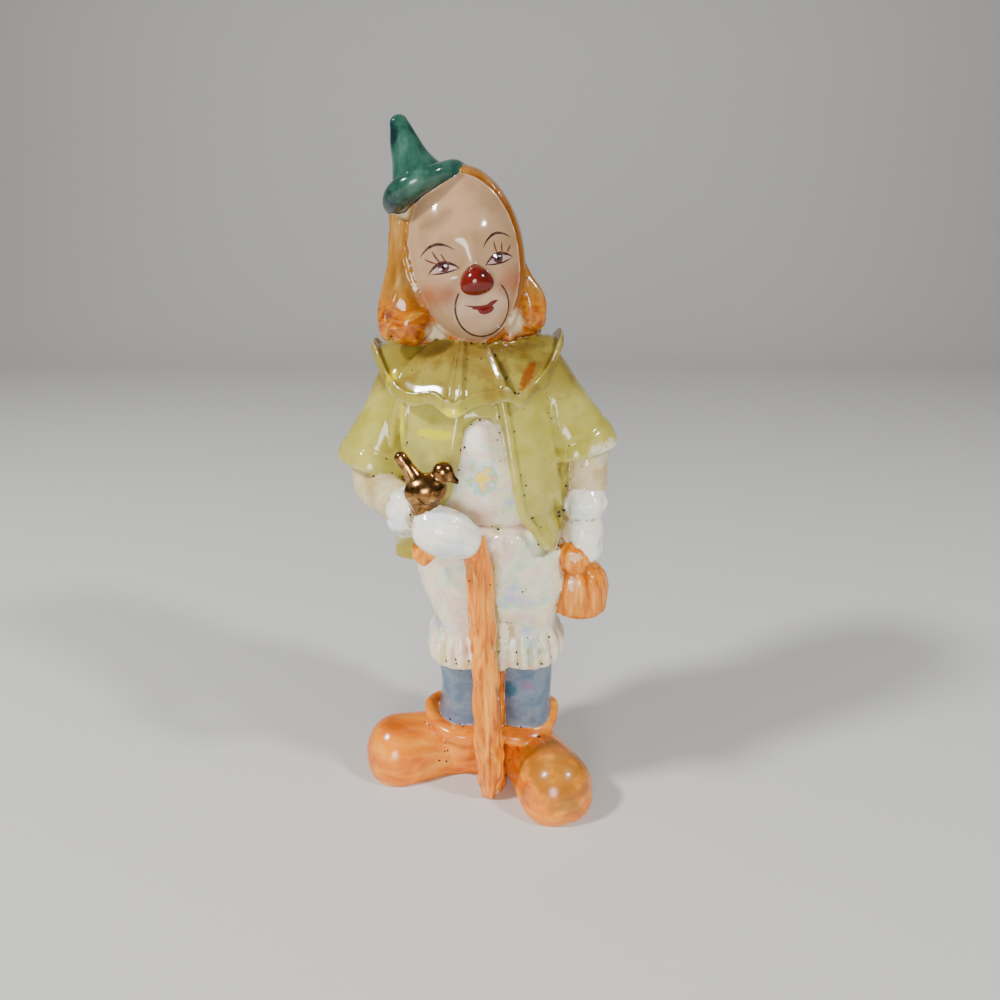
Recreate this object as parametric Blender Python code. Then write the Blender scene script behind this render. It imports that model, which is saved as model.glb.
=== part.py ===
"""Glazed porcelain clown figurine: hat, head and hair, pleated ruff, cape sleeves, coat, trousers and
socks over a pair of large round-toed shoes, with a cane, a small bird and a bundle in the hands.

The figurine is one slip-cast and fired piece, so every form below is fused into one closed skin.
Front is -Y, +Z is up, the underside of the shoes is z = 0 and the origin lies below the ankles.
The sizes of the forms are millimetres on a figure 230 mm high, scaled by UNIT.
"""
import math

import bmesh
import bpy
import numpy as np

HEIGHT = 0.230
UNIT = HEIGHT / 230.0
CELLS_IN_HEIGHT = 242
SMOOTHING_STEPS = 3
TRIANGLES = 9300


def between(keys, rows, samples):
    """Rows at the sample keys, on a smooth cubic that passes through the given rows."""
    keys = np.asarray(keys, float)
    rows = np.asarray(rows, float)
    slopes = np.gradient(rows, keys, axis=0)
    lower = np.clip(np.searchsorted(keys, samples, side="right") - 1, 0, len(keys) - 2)
    span = (keys[lower + 1] - keys[lower])[:, None]
    t = (samples - keys[lower])[:, None] / span
    start = rows[lower] * (2 * t ** 3 - 3 * t ** 2 + 1) + slopes[lower] * span * (t ** 3 - 2 * t ** 2 + t)
    end = rows[lower + 1] * (3 * t ** 2 - 2 * t ** 3) + slopes[lower + 1] * span * (t ** 3 - t ** 2)
    return start + end


def skin(grid):
    """Points and faces of a closed skin: quads between the rings of the grid and a fan at each end."""
    rings, spokes, _ = grid.shape
    points = np.vstack([grid.reshape(-1, 3), grid[0].mean(axis=0), grid[-1].mean(axis=0)])
    faces = []
    for ring in range(rings - 1):
        for spoke in range(spokes):
            after = (spoke + 1) % spokes
            a = ring * spokes
            b = a + spokes
            faces.append((a + spoke, a + after, b + after, b + spoke))
    first = rings * spokes
    last = first + 1
    top = (rings - 1) * spokes
    for spoke in range(spokes):
        after = (spoke + 1) % spokes
        faces.append((first, after, spoke))
        faces.append((last, top + spoke, top + after))
    return points, faces


def column(rows, rings=40, spokes=64, swell=None):
    """Level oval sections stacked upwards.

    Each row gives height, centre x, centre y, half width, front depth, back depth and squareness.
    """
    rows = np.asarray(rows, float)
    z = np.linspace(rows[0, 0], rows[-1, 0], rings)
    table = between(rows[:, 0], rows[:, 1:], z)[:, :, None]
    turn = np.linspace(0, 2 * math.pi, spokes, endpoint=False)[None, :]
    level = z[:, None] + 0 * turn
    bend = 2.0 / table[:, 5]
    across = np.sign(np.cos(turn)) * np.abs(np.cos(turn)) ** bend
    along = np.sign(np.sin(turn)) * np.abs(np.sin(turn)) ** bend
    depth = np.where(np.sin(turn) < 0, table[:, 3], table[:, 4])
    x = table[:, 2] * across
    y = depth * along
    if swell is not None:
        reach = np.hypot(x, y) + 1e-9
        grow = swell(turn, level) / reach
        x = x * (1 + grow)
        y = y * (1 + grow)
    return skin(np.stack([table[:, 0] + x, table[:, 1] + y, level], axis=-1))


def limb(rows, rings=28, spokes=28, up=(0, 0, 1), start=1.0, end=1.0, mouth=0.0, relief=None):
    """An oval section carried along a smooth path, with rounded ends.

    Each row gives x, y, z, half width across and half height; start and end give how far each end
    bulges as a share of its half height, and mouth sinks the last end in as a hollow instead.
    """
    rows = np.asarray(rows, float)
    gaps = np.linalg.norm(np.diff(rows[:, :3], axis=0), axis=1)
    keys = np.concatenate([[0], np.cumsum(gaps)])
    run = np.linspace(0, keys[-1], rings)
    table = between(keys, rows, run)
    path = table[:, :3]
    half = table[:, 3:5]
    ahead = np.gradient(path, run, axis=0)
    ahead /= np.linalg.norm(ahead, axis=1)[:, None]
    side = np.cross(ahead, np.asarray(up, float))
    side /= np.linalg.norm(side, axis=1)[:, None]
    rise = np.cross(side, ahead)
    ends = []
    for share in (0.97, 0.88, 0.72, 0.5, 0.26):
        ends.append((share, math.sqrt(1 - share ** 2)))
    lists = [[], [], [], []]
    for out, narrow in ends:
        lists[0].append(path[0] - ahead[0] * half[0].min() * start * out)
        lists[1].append(half[0] * narrow)
        lists[2].append(side[0])
        lists[3].append(rise[0])
    for values, extra in zip((path, half, side, rise), lists):
        extra.extend(values)
    if mouth > 0:
        for narrow, back in ((0.93, -0.25), (0.84, 0.1), (0.8, mouth), (0.4, mouth)):
            lists[0].append(path[-1] - ahead[-1] * back)
            lists[1].append(half[-1] * narrow)
            lists[2].append(side[-1])
            lists[3].append(rise[-1])
    else:
        for out, narrow in reversed(ends):
            lists[0].append(path[-1] + ahead[-1] * half[-1].min() * end * out)
            lists[1].append(half[-1] * narrow)
            lists[2].append(side[-1])
            lists[3].append(rise[-1])
    path, half, side, rise = (np.array(values)[:, None, :] for values in lists)
    turn = np.linspace(0, 2 * math.pi, spokes, endpoint=False)[None, :, None]
    grid = path + side * half[:, :, :1] * np.cos(turn) + rise * half[:, :, 1:] * np.sin(turn)
    if relief is not None:
        grid = relief(grid, path, turn)
    return skin(grid)


def ball(centre, radii, rings=24, spokes=36, lean=0.0, turned=0.0, relief=None):
    """A round body given by its half sizes, leant about Y and turned about Z, in degrees."""
    fall = np.linspace(0.04, math.pi - 0.04, rings)[:, None]
    turn = np.linspace(0, 2 * math.pi, spokes, endpoint=False)[None, :]
    unit = np.stack([np.sin(fall) * np.cos(turn), np.sin(fall) * np.sin(turn), np.cos(fall) + 0 * turn], axis=-1)
    grid = unit * np.asarray(radii, float)
    if relief is not None:
        grid = relief(grid, unit)
    return skin(posed(grid[::-1], centre, lean, turned))


def posed(grid, centre, lean, turned):
    """Local points leant about Y (top towards -X when positive), turned about Z and moved."""
    tip = math.radians(lean)
    yaw = math.radians(turned)
    x = grid[..., 0] * math.cos(tip) - grid[..., 2] * math.sin(tip)
    z = grid[..., 0] * math.sin(tip) + grid[..., 2] * math.cos(tip)
    y = grid[..., 1]
    placed = np.stack([x * math.cos(yaw) - y * math.sin(yaw), x * math.sin(yaw) + y * math.cos(yaw), z], axis=-1)
    return placed + np.asarray(centre, float)


def bump(x, z, at_x, at_z, wide, tall):
    """A soft hill of height one."""
    return np.exp(-((x - at_x) / wide) ** 2 - ((z - at_z) / tall) ** 2)


# Shoes: a big round toe, a narrower waist and a rounded heel on a flat sole
TOE_LEFT = (-39.6, -6.4)
TOE_RIGHT = (20.6, -27.6)
ANKLE_LEFT = (-12.4, 0.5)
ANKLE_RIGHT = (8.8, -0.5)


def shoe(ankle, toe):
    """One shoe from heel to toe; the sole runs below the ground plane and is cut flat later."""
    ankle = np.array(ankle)
    toe = np.array(toe)
    ahead = (toe - ankle) / np.linalg.norm(toe - ankle)
    heel = ankle - ahead * 5.0
    rows = []
    for spot, half, tall in ((heel, 10.2, 13.0), (ankle, 10.8, 15.5), (ankle * 0.55 + toe * 0.45, 10.6, 13.4),
                             (ankle * 0.2 + toe * 0.8, 12.4, 13.6), (toe, 12.9, 13.8)):
        rows.append((spot[0], spot[1], 8.0, half, tall))

    def sole(grid, path, turn):
        below = grid[..., 2:] < path[..., 2:]
        side = (grid - path)[..., :2]
        grow = np.where(below, 1.0 + 0.25 * np.abs(np.sin(turn)) * np.abs(np.cos(turn)), 1.0)
        return np.concatenate([path[..., :2] + side * grow, grid[..., 2:]], axis=-1)

    return limb(rows, rings=26, spokes=40, start=0.75, end=0.93, relief=sole)


def collar(ankle, radius):
    """The flared rim of the shoe opening."""
    rows = []
    for height, grow in ((12.0, 1.5), (17.0, 2.4), (20.5, 3.0), (23.5, 3.8), (25.4, 4.4), (26.4, 3.7)):
        rows.append((height, ankle[0], ankle[1], radius + grow, radius + grow + 2.0, radius + grow, 2.2))
    return column(rows, rings=20, spokes=48)


def leg(ankle, radius):
    """The sock, a slightly waisted tube from the shoe into the trousers."""
    x, y = ankle
    rows = [(14, x, y, radius, radius + 2.6, radius, 2.5), (26, x, y, radius, radius + 2.6, radius, 2.5),
            (40, x, y, radius - 0.2, radius + 2.6, radius, 2.5), (60, x, y, radius + 0.6, radius + 3, radius + 1, 2.5)]
    return column(rows, rings=20, spokes=40)


def trouser_leg(x, y):
    """One trouser leg, drawn in above a puffed and gathered hem."""
    def gathers(turn, z):
        low = np.clip((62 - z) / 8, 0, 1) * np.clip((z - 49) / 3, 0, 1)
        return low * 0.55 * np.sin(turn * 13)

    rows = [(49.0, x, y, 10.2, 12.0, 11.5, 2.2), (50.5, x, y, 12.4, 15.6, 14.2, 2.2),
            (54.0, x, y, 13.2, 17.4, 15.5, 2.2), (59.0, x, y, 12.7, 17.0, 15.4, 2.2),
            (64.5, x, y, 10.9, 15.4, 14.2, 2.2), (71.0, x, y, 12.4, 16.8, 15.4, 2.2),
            (80.0, x, y, 14.0, 18.6, 16.4, 2.2), (96.0, x, y, 14.0, 19.5, 16.6, 2.2)]
    return column(rows, rings=44, spokes=60, swell=gathers)


def crotch():
    """The web closing the space between the legs, behind the cane."""
    rows = [(10, -1.4, -1.5, 6.0, 13.0, 7.0, 2), (46, -1.4, -1.5, 6.0, 12.6, 8.0, 2),
            (56, -1.6, -1.5, 8.0, 14.8, 10.0, 2), (66, -1.8, -1.5, 8.0, 15.0, 11.0, 2),
            (90, -2.5, -1.5, 8.0, 17.4, 13.0, 2)]
    return column(rows, rings=16, spokes=36)


BODY = ((66, -1.8, -1, 17.0, 15.0, 14.0, 2.3), (74, -2.2, -1, 23.8, 18.8, 16.5, 2.4),
        (84, -3.0, -1, 25.9, 21.2, 17.5, 2.4), (96, -3.6, -1, 25.8, 22.2, 17.5, 2.4),
        (104, -4.0, -1, 25.0, 22.0, 17.5, 2.4), (108.6, -4.3, -1, 23.8, 20.2, 16.8, 2.4),
        (113, -4.8, -1, 24.6, 21.8, 17.2, 2.4), (120, -5.6, -1, 25.0, 22.4, 17.8, 2.4),
        (130, -7.0, -1, 25.2, 22.0, 18.0, 2.4), (142, -8.8, -1, 25.6, 20.4, 17.6, 2.3),
        (152, -10.0, -1, 25.4, 17.4, 15.6, 2.2), (160, -10.6, -1, 19.0, 13.0, 12.6, 2.0),
        (168, -11.0, -1, 9.0, 9.0, 9.0, 2.0))


def body():
    """Trouser seat, waist crease, chest and shirt front."""
    return column(BODY, rings=80, spokes=80)


def body_front(x, z):
    """Depth of the chest surface in front at a place and height."""
    rows = np.asarray(BODY, float)
    table = between(rows[:, 0], rows[:, 1:], np.ravel(z)).reshape(np.shape(z) + (6,))
    share = np.clip(np.abs(x - table[..., 0]) / table[..., 2], 0, 0.995)
    return table[..., 1] - table[..., 3] * (1 - share ** table[..., 5]) ** (1 / table[..., 5])


def coat():
    """The coat hugging sides and back, cut away in front on the bird side, hem lower at the back."""
    rows = np.asarray(BODY, float)
    across = np.linspace(0, 1, 90)[None, :]
    rise = np.linspace(0, 1, 50)[:, None]
    hem = 85.0 + 1.2 * np.cos(across * 2 * math.pi)
    z = hem + rise * (157.0 - hem)
    first = np.interp(z, [88, 94, 104, 118, 130, 146, 158], [268, 262, 232, 200, 189, 180, 178])
    last = np.interp(z, [86, 104, 112, 120, 158], [442, 455, 480, 500, 528])
    angle = np.radians(-(first + (last - first) * across) + 90)
    table = between(rows[:, 0], rows[:, 1:], z.ravel()).reshape(z.shape + (6,))
    bend = 2.0 / table[..., 5]
    cosine = np.cos(angle)
    sine = np.sin(angle)
    depth = np.where(sine < 0, table[..., 3], table[..., 4])
    edge = np.minimum(across, 1 - across) * 110
    lip = np.sqrt(np.clip(1 - (1 - np.clip(edge / 1.6, 0, 1)) ** 2, 0, 1))
    foot = np.sqrt(np.clip(1 - (1 - np.clip((z - hem) / 1.8, 0, 1)) ** 2, 0, 1))
    lift = -1.5 + 3.9 * lip * foot
    flare = np.clip((118 - z) / 24, 0, 1) * (2.2 + 3.0 * np.clip(-cosine, 0, 1) ** 2 + 0.9 * np.sin(angle * 7))
    outer = lift + flare * lip * foot

    def around(extra):
        reach_x = (table[..., 2] + extra) * np.sign(cosine) * np.abs(cosine) ** bend
        reach_y = (depth + extra) * np.sign(sine) * np.abs(sine) ** bend
        return np.stack([table[..., 0] + reach_x, table[..., 1] + reach_y, z], axis=-1)

    grid = np.concatenate([around(outer), around(-5.0 + 0 * outer)[:, ::-1]], axis=1)
    return skin(grid[:, ::-1])


def plate(top, bottom, left, right, lift, hang):
    """A cloth panel lying on the chest between two edges, each edge given as (height, x) pairs."""
    across = np.linspace(0, 1, 30)[None, :]
    drop = np.linspace(0, 1, 44)[:, None]
    z = bottom + (top - bottom) * drop + 0 * across
    x_left = between([row[0] for row in left], [[row[1]] for row in left], z[:, 0])
    x_right = between([row[0] for row in right], [[row[1]] for row in right], z[:, 0])
    x = x_left + (x_right - x_left) * across
    edge = np.minimum(x - x_left, x_right - x)
    lip = np.sqrt(np.clip(1 - (1 - np.clip(edge / 1.7, 0, 1)) ** 2, 0, 1))
    y = body_front(x, z)
    outer = y - (lift + hang * np.clip((112 - z) / 14, 0, 1)) * (0.25 + 0.75 * lip)
    front = np.stack([x, outer, z], axis=-1)
    back = np.stack([x, y + 5.0, z], axis=-1)
    return skin(np.concatenate([front, back[:, ::-1]], axis=1))


LAPEL_LEFT = ((97.6, 16.8), (100.6, 14.8), (106.0, 10.4), (112.0, 6.6), (122.0, 4.4), (134.0, 2.4), (150.0, -0.4))
LAPEL_RIGHT = ((97.6, 17.4), (100.6, 19.2), (106.0, 20.8), (112.0, 22.0), (122.0, 22.6), (134.0, 21.0), (150.0, 19.0))


def lapel():
    """The long pointed front panel."""
    return plate(150, 97.6, LAPEL_LEFT, LAPEL_RIGHT, 2.6, 1.2)


def beading():
    """The rolled edge down the pointed panel."""
    rows = []
    for z, x in LAPEL_LEFT[1:]:
        y = float(body_front(np.array(x + 0.8), np.array(z)))
        rows.append((x + 0.8, y - 2.9, z, 1.1, 1.1))
    return limb(rows[::-1], rings=40, spokes=12, up=(0, -1, 0))


# Ruff: its edge rows give the direction from the front in degrees, the reach as a share, the height of the
# edge and the rise of the pleat there
RUFF_CENTRE = (-10.3, -1.5)
RUFF_NECK = (10.0, 166.0)
RUFF_REACH = (30.6, 28.8, 25.6)
RUFF_EDGE = ((-180, 0.97, 157.0, -0.6), (-150, 1.05, 160.0, 0.8), (-120, 0.96, 158.5, -0.8), (-90, 1.03, 162.5, 0.8),
             (-72, 1.01, 161.0, -0.2), (-60, 0.97, 154.5, -0.6), (-48, 1.00, 150.2, 1.1), (-36, 0.98, 149.6, -0.4),
             (-20, 0.96, 150.8, -0.8), (-6, 1.07, 145.4, 1.7), (6, 0.97, 150.0, -0.2), (15, 0.96, 151.2, -0.9),
             (28, 0.98, 151.2, -0.8), (32, 0.98, 150.8, -1.9), (42, 1.01, 151.0, 0.6), (52, 1.01, 153.6, 0.8),
             (62, 0.99, 158.0, -0.6), (76, 1.03, 164.5, 0.8), (92, 1.02, 167.0, 0.4), (115, 0.96, 162.0, -0.8),
             (148, 1.05, 160.0, 0.8), (180, 0.97, 157.0, -0.6))


def ruff():
    """A pleated disc round the neck, its edge wavy and dropping towards the front."""
    degrees = np.linspace(-180, 180, 180, endpoint=False)
    table = between([row[0] for row in RUFF_EDGE], [row[1:] for row in RUFF_EDGE], degrees)[:, :, None]
    turn = np.radians(degrees)[:, None]
    loop = np.array(((0.0, -3.0), (0.45, -3.0), (0.8, -2.8), (0.95, -2.4), (1.0, -1.2), (0.985, -0.2), (0.93, 0.0),
                     (0.8, 0.0), (0.6, 0.0), (0.4, 0.0), (0.2, 0.0), (0.0, 0.0)))
    share = loop[None, :, 0]
    inner, neck = RUFF_NECK
    wide, front, back = RUFF_REACH
    depth = np.where(np.cos(turn) > 0, front, back)
    across = inner + (wide * table[:, 0] - inner) * share
    along = inner + (depth * table[:, 0] - inner) * share
    z = neck + (table[:, 1] - neck) * share ** 1.25 + loop[None, :, 1] + table[:, 2] * (0.2 + 0.8 * share)
    x = RUFF_CENTRE[0] + across * np.sin(turn)
    y = RUFF_CENTRE[1] - along * np.cos(turn)
    return ring_skin(np.stack([x, y, z], axis=-1))


def ring_skin(grid):
    """Points and faces of a skin that closes on itself both ways."""
    rings, spokes, _ = grid.shape
    faces = []
    for ring in range(rings):
        for spoke in range(spokes):
            after = (spoke + 1) % spokes
            a = ring * spokes
            b = ((ring + 1) % rings) * spokes
            faces.append((a + spoke, a + after, b + after, b + spoke))
    return grid.reshape(-1, 3), faces


# Head: an egg leaning to -X and turned a little to +X
HEAD = (-11.0, -6.0, 190.8)
HEAD_LEAN = 9.8
HEAD_TURN = 8.0


def face_relief(grid, unit):
    """Cheeks, brow, muzzle and chin raised on the front of the egg."""
    x, y, z = grid[..., 0], grid[..., 1], grid[..., 2]
    z = np.where(z > 0, z * 0.90, z)
    front = np.clip(-unit[..., 1] * 1.6, 0, 1)
    lift = 1.5 * bump(x, z, 0, -15.5, 8.5, 8.5)
    lift = lift + 1.3 * bump(x, z, 9.5, -6, 5, 4) + 1.3 * bump(x, z, -9.5, -6, 5, 4)
    lift = lift + 1.3 * bump(x, z, 0, -3, 3.2, 6) + 0.8 * bump(x, z, 0, 6.5, 12, 4)
    lift = lift - 0.9 * bump(x, z, 7, -1.5, 3.6, 2.4) - 0.9 * bump(x, z, -7, -1.5, 3.6, 2.4)
    lift = lift + 0.8 * bump(x, z, 0, -23, 6, 3.5)
    lift = lift * front
    return np.stack([x, y - lift, z], axis=-1)


def head():
    """Face and skull."""
    return ball(HEAD, (17.3, 17.6, 27.4), 50, 64, HEAD_LEAN, HEAD_TURN, face_relief)


def nose():
    """The red nose, a blunt rounded triangle."""
    def wedge(grid, unit):
        narrow = 1 - 0.22 * unit[..., 2:]
        return grid * np.concatenate([narrow, 0 * narrow + 1, 0 * narrow + 1], axis=-1)

    spot = posed(np.array([0.0, -19.6, -6.9]), HEAD, HEAD_LEAN, HEAD_TURN)
    return ball(spot, (3.9, 4.2, 3.9), 18, 24, HEAD_LEAN, HEAD_TURN, wedge)


def hair():
    """The hair behind the face: a dome that widens to the ends on the ruff, grooved into locks."""
    def locks(turn, z):
        return 0.55 * np.sin(turn * 15 + 0.12 * z) * np.clip((208 - z) / 14, 0, 1)

    rows = [(161, -11.4, 4, 23.4, 13, 17, 2.5), (165, -11.6, 4, 24.8, 13.5, 18.5, 2.5),
            (171, -11.8, 4, 25.2, 13.5, 20, 2.4), (177, -12.0, 4, 24.4, 13, 21, 2.3),
            (184, -12.6, 4, 21.4, 12, 21.5, 2.2), (190, -13.8, 4, 19.0, 11.5, 21.5, 2.1),
            (200, -15.2, 4, 17.4, 12, 20.0, 2), (206, -15.8, 4, 15.0, 12, 17, 2),
            (211, -16.2, 3, 11.0, 9, 11, 2), (214, -16.6, 2, 3.0, 3, 3, 2)]
    return column(rows, rings=64, spokes=96, swell=locks)


def hair_crown():
    """The thin band of hair over the top of the head beside the hat."""
    return ball((-11.6, -2.5, 190.4), (17.9, 17.5, 24.9), 36, 48, HEAD_LEAN, HEAD_TURN)


def lock_left():
    """The big lock on the hat side, curled at its end."""
    rows = [(-30.6, -7, 204, 2.6, 3.6), (-30.2, -9, 194, 3.2, 4.4), (-30.4, -10.4, 184, 4.0, 5.2),
            (-30.2, -11.4, 176, 6.0, 6.4), (-29.4, -11.6, 169.8, 6.8, 6.4)]
    return limb(rows, rings=34, spokes=28, up=(0, -1, 0), end=0.75)


def lock_left_strand():
    """The thin raised strand along the outside of the big lock."""
    rows = [(-32.2, -8, 197, 1.3, 2.2), (-32.4, -10, 188, 1.5, 2.8), (-33.8, -11.5, 180, 2.0, 3.2),
            (-34.8, -12.4, 174, 2.3, 3.4), (-34.6, -12.4, 168, 2.2, 3.2)]
    return limb(rows, rings=28, spokes=20, up=(0, -1, 0))


def lock_right():
    """The lock on the other side, swinging out at its end."""
    rows = [(1.4, -3, 202, 1.8, 4.0), (3.8, -4, 193, 2.2, 4.6), (6.8, -5, 184, 3.2, 5.0),
            (10.2, -5.6, 177, 4.4, 5.4), (10.6, -5.6, 171.4, 4.2, 5.2)]
    return limb(rows, rings=30, spokes=28, up=(0, -1, 0), end=0.8)


# Hat: a small cone with a rolled brim, set at a slant over the side of the head
HAT = (-22.0, -6.4, 209.6)
HAT_LEAN = 22.5


def hat_cone():
    """The cone, hollow-sided, with a blunt tip."""
    rows = []
    for height, radius, shift in ((-5, 9.6, -0.4), (0, 8.9, -0.5), (4, 7.5, -0.7), (9, 5.6, -0.8), (14, 4.1, -0.6),
                                  (17.0, 3.2, -0.2), (19.2, 2.6, 0)):
        spot = posed(np.array([shift, 0.0, height]), HAT, HAT_LEAN, 0)
        rows.append((*spot, radius, radius))
    return limb(rows, rings=30, spokes=32, up=(0, -1, 0), start=0.3, end=0.85)


def hat_brim():
    """The rolled brim, thicker on the low side."""
    turn = np.linspace(0, 2 * math.pi, 72, endpoint=False)[:, None]
    loop = np.linspace(0, 2 * math.pi, 24, endpoint=False)[None, :]
    low = 0.5 - 0.5 * np.cos(turn)
    thick = 2.8 + 0.9 * low
    tall = 2.6 + 0.9 * low
    radius = 10.2 + 0.4 * np.sin(3 * turn + 1) + thick * np.cos(loop)
    level = 0.6 + tall * np.sin(loop) - 0.14 * radius * np.sin(turn)
    local = np.stack([radius * np.cos(turn), 1.06 * radius * np.sin(turn), level], axis=-1)
    return ring_skin(posed(local, HAT, HAT_LEAN, 0)[:, ::-1])


def sleeve_left():
    """The cape sleeve over the arm with the cane."""
    rows = [(-28.6, 0, 158, 7.6, 10.5), (-31.4, -0.5, 152, 8.8, 12.3), (-35.2, -1.2, 141, 10.0, 13.2),
            (-38.8, -2.0, 131, 12.0, 14.4), (-40.8, -2.6, 125.6, 13.6, 15.6), (-41.4, -2.8, 123.6, 14.2, 16.2)]
    return limb(rows, rings=36, spokes=56, up=(0, -1, 0), start=0.6, mouth=2.2)


def sleeve_right():
    """The cape sleeve over the arm with the bundle."""
    rows = [(9.2, 0, 160, 7.2, 10.5), (12.8, -0.4, 155, 8.6, 12.2), (18.0, -0.8, 145, 10.2, 13.0),
            (23.0, -1.0, 136, 11.8, 14.2), (26.0, -1.2, 130.6, 13.4, 15.2), (26.6, -1.2, 128.8, 14.0, 15.8)]
    return limb(rows, rings=36, spokes=56, up=(0, -1, 0), start=0.6, mouth=2.2)


def arm_left():
    """Bent arm with its hand on the cane."""
    rows = [(-39.0, -2, 133, 8.8, 9.4), (-42.2, -3, 124, 8.4, 9.2), (-41.4, -8, 118.8, 8.0, 8.0),
            (-36.6, -17, 117.0, 7.0, 6.6), (-30.4, -26, 115.4, 6.2, 6.0)]
    return limb(rows, rings=40, spokes=36, up=(0, -0.5, 1))


def cuff_left():
    """The puffed ring at the wrist."""
    rows = [(-33.6, -21.5, 114.4, 6.8, 7.2), (-31.2, -25.4, 114.0, 7.8, 8.6), (-28.0, -29.2, 113.6, 7.2, 7.8)]
    return limb(rows, rings=14, spokes=32, start=0.45, end=0.45)


def mitten_left():
    """The gloved hand folded over the top of the cane."""
    palm = limb([(-27.5, -30.0, 113.4, 6.2, 7.0), (-22.0, -33.5, 112.6, 7.2, 8.6), (-15.4, -34.6, 110.4, 6.6, 9.0),
                 (-10.4, -33.6, 108.4, 5.4, 7.2)], rings=28, spokes=36, end=0.75)
    thumb = limb([(-20, -37, 107.5, 3.4, 3.4), (-14, -37.6, 104.8, 3.4, 3.2), (-10.4, -36, 104.6, 2.6, 2.6)],
                 rings=16, spokes=20)
    return [palm, thumb]


def arm_right():
    """Hanging arm with a banded cuff and a hand closed on the bundle."""
    sleeve = limb([(27.6, -1, 134, 8.4, 10), (29.4, -2.6, 122, 8.0, 9.6), (29.9, -4.2, 113.5, 7.2, 8.6)],
                  rings=20, spokes=36, up=(0, -1, 0), end=0.3)
    cuff = limb([(29.9, -5, 111.0, 7.0, 8.6), (29.8, -5.4, 108.2, 7.9, 9.4), (29.8, -5.8, 105.4, 7.0, 8.6)],
                rings=12, spokes=36, up=(0, -1, 0), start=0.3, end=0.3)
    hand = limb([(29.8, -6.0, 106.0, 6.2, 7.8), (29.4, -7.4, 100.0, 7.0, 8.6), (29.8, -8.6, 95.0, 6.4, 7.6)],
                rings=20, spokes=32, up=(0, -1, 0), start=0.4, end=0.8)
    return [sleeve, cuff, hand]


def bundle():
    """A small cloth bundle: knot in the hand and a full bag below it."""
    knot = limb([(24.8, -13.5, 97.0, 5.0, 4.0), (25.6, -12.6, 91.6, 5.4, 5.4), (27.4, -9.4, 88.0, 5.2, 5.6)],
                rings=16, spokes=28, up=(0, -1, 0))
    bag = column([(67.6, 28.4, -6.5, 5.4, 5.4, 5.2, 2.2), (70.0, 28.4, -6.5, 8.6, 8.6, 8.0, 2.2),
                  (75.0, 28.4, -6.5, 9.8, 10.0, 9.2, 2.3), (81.0, 28.2, -6.5, 8.9, 9.4, 8.6, 2.3),
                  (86.0, 27.8, -6.8, 7.4, 7.8, 7.0, 2.1), (89.4, 27.2, -7.2, 5.4, 5.8, 5.4, 2)], rings=30, spokes=40)
    return [knot, bag]


def cane():
    """The gnarled cane from the hand to the ground, with the end of its handle below the palm."""
    def gnarls(grid, path, turn):
        spread = grid - path
        height = path[..., 2:]
        ripple = 1 + 0.07 * np.sin(3 * turn + 0.12 * height) + 0.05 * np.sin(5 * turn - 0.09 * height)
        return path + spread * ripple

    shaft = limb([(-8.0, -31.0, 110.0, 4.2, 4.2), (-7.0, -27.6, 98.0, 4.4, 4.8), (-6.2, -25.6, 78.0, 4.4, 5.4),
                  (-5.4, -24.4, 55.0, 4.5, 5.6), (-4.6, -23.4, 32.0, 4.7, 5.4), (-4.0, -22.6, 16.0, 4.8, 5.0),
                  (-3.8, -22.4, 3.0, 3.7, 3.4), (-3.8, -22.4, -3.0, 3.0, 2.8)],
                 rings=80, spokes=28, up=(0, -1, 0), relief=gnarls)
    web = limb([(-3.4, -20.0, 104.0, 2.6, 4.0), (-2.6, -19.6, 70.0, 2.8, 5.0), (-1.4, -18.6, 40.0, 3.0, 5.2),
                (-0.6, -17.6, 12.0, 3.4, 4.6), (0.4, -17.6, -3.0, 3.6, 3.0)], rings=40, spokes=20, up=(0, -1, 0))
    knob = limb([(-16.0, -29.5, 106.0, 3.4, 3.4), (-21.4, -28.0, 103.4, 3.4, 3.6), (-24.8, -26.4, 101.0, 2.8, 3.2)],
                rings=14, spokes=20)
    return [shaft, web, knob]


def bird():
    """The little bird on the wrist, tail up."""
    body = ball((-22.8, -34.2, 124.8), (6.4, 4.9, 5.0), 20, 28, 14)
    neck = limb([(-20.6, -34.2, 126.2, 3.6, 3.8), (-16.8, -34.4, 130.0, 3.0, 3.2)], rings=8, spokes=20)
    beak = limb([(-16.0, -34.4, 129.6, 2.4, 2.4), (-13.6, -34.6, 127.8, 1.5, 1.5), (-12.2, -34.7, 126.9, 0.8, 0.8)],
                rings=10, spokes=16)
    tail = limb([(-24.8, -34, 127.2, 3.6, 3.2), (-28.2, -33.8, 132.0, 2.3, 1.9), (-31.0, -33.6, 136.2, 1.9, 1.5)],
                rings=16, spokes=20, up=(0, -1, 0))
    perch = limb([(-24.5, -33.0, 121.5, 4.2, 4.4), (-23.6, -31.6, 116.5, 4.6, 4.6)], rings=8, spokes=20, up=(0, -1, 0))
    return [body, neck, beak, tail, perch]


def heels():
    """The shared ground between the two shoes and behind the cane."""
    rows = [(-4, -2.0, 0.5, 13.0, 12.5, 11.5, 2.6), (6, -2.0, 0.5, 13.4, 13.5, 12.0, 2.6),
            (16, -2.0, 0.5, 13.0, 13.5, 11.5, 2.4), (22, -2.0, 0.5, 12.0, 12.0, 10.5, 2.4)]
    return column(rows, rings=16, spokes=48)


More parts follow.
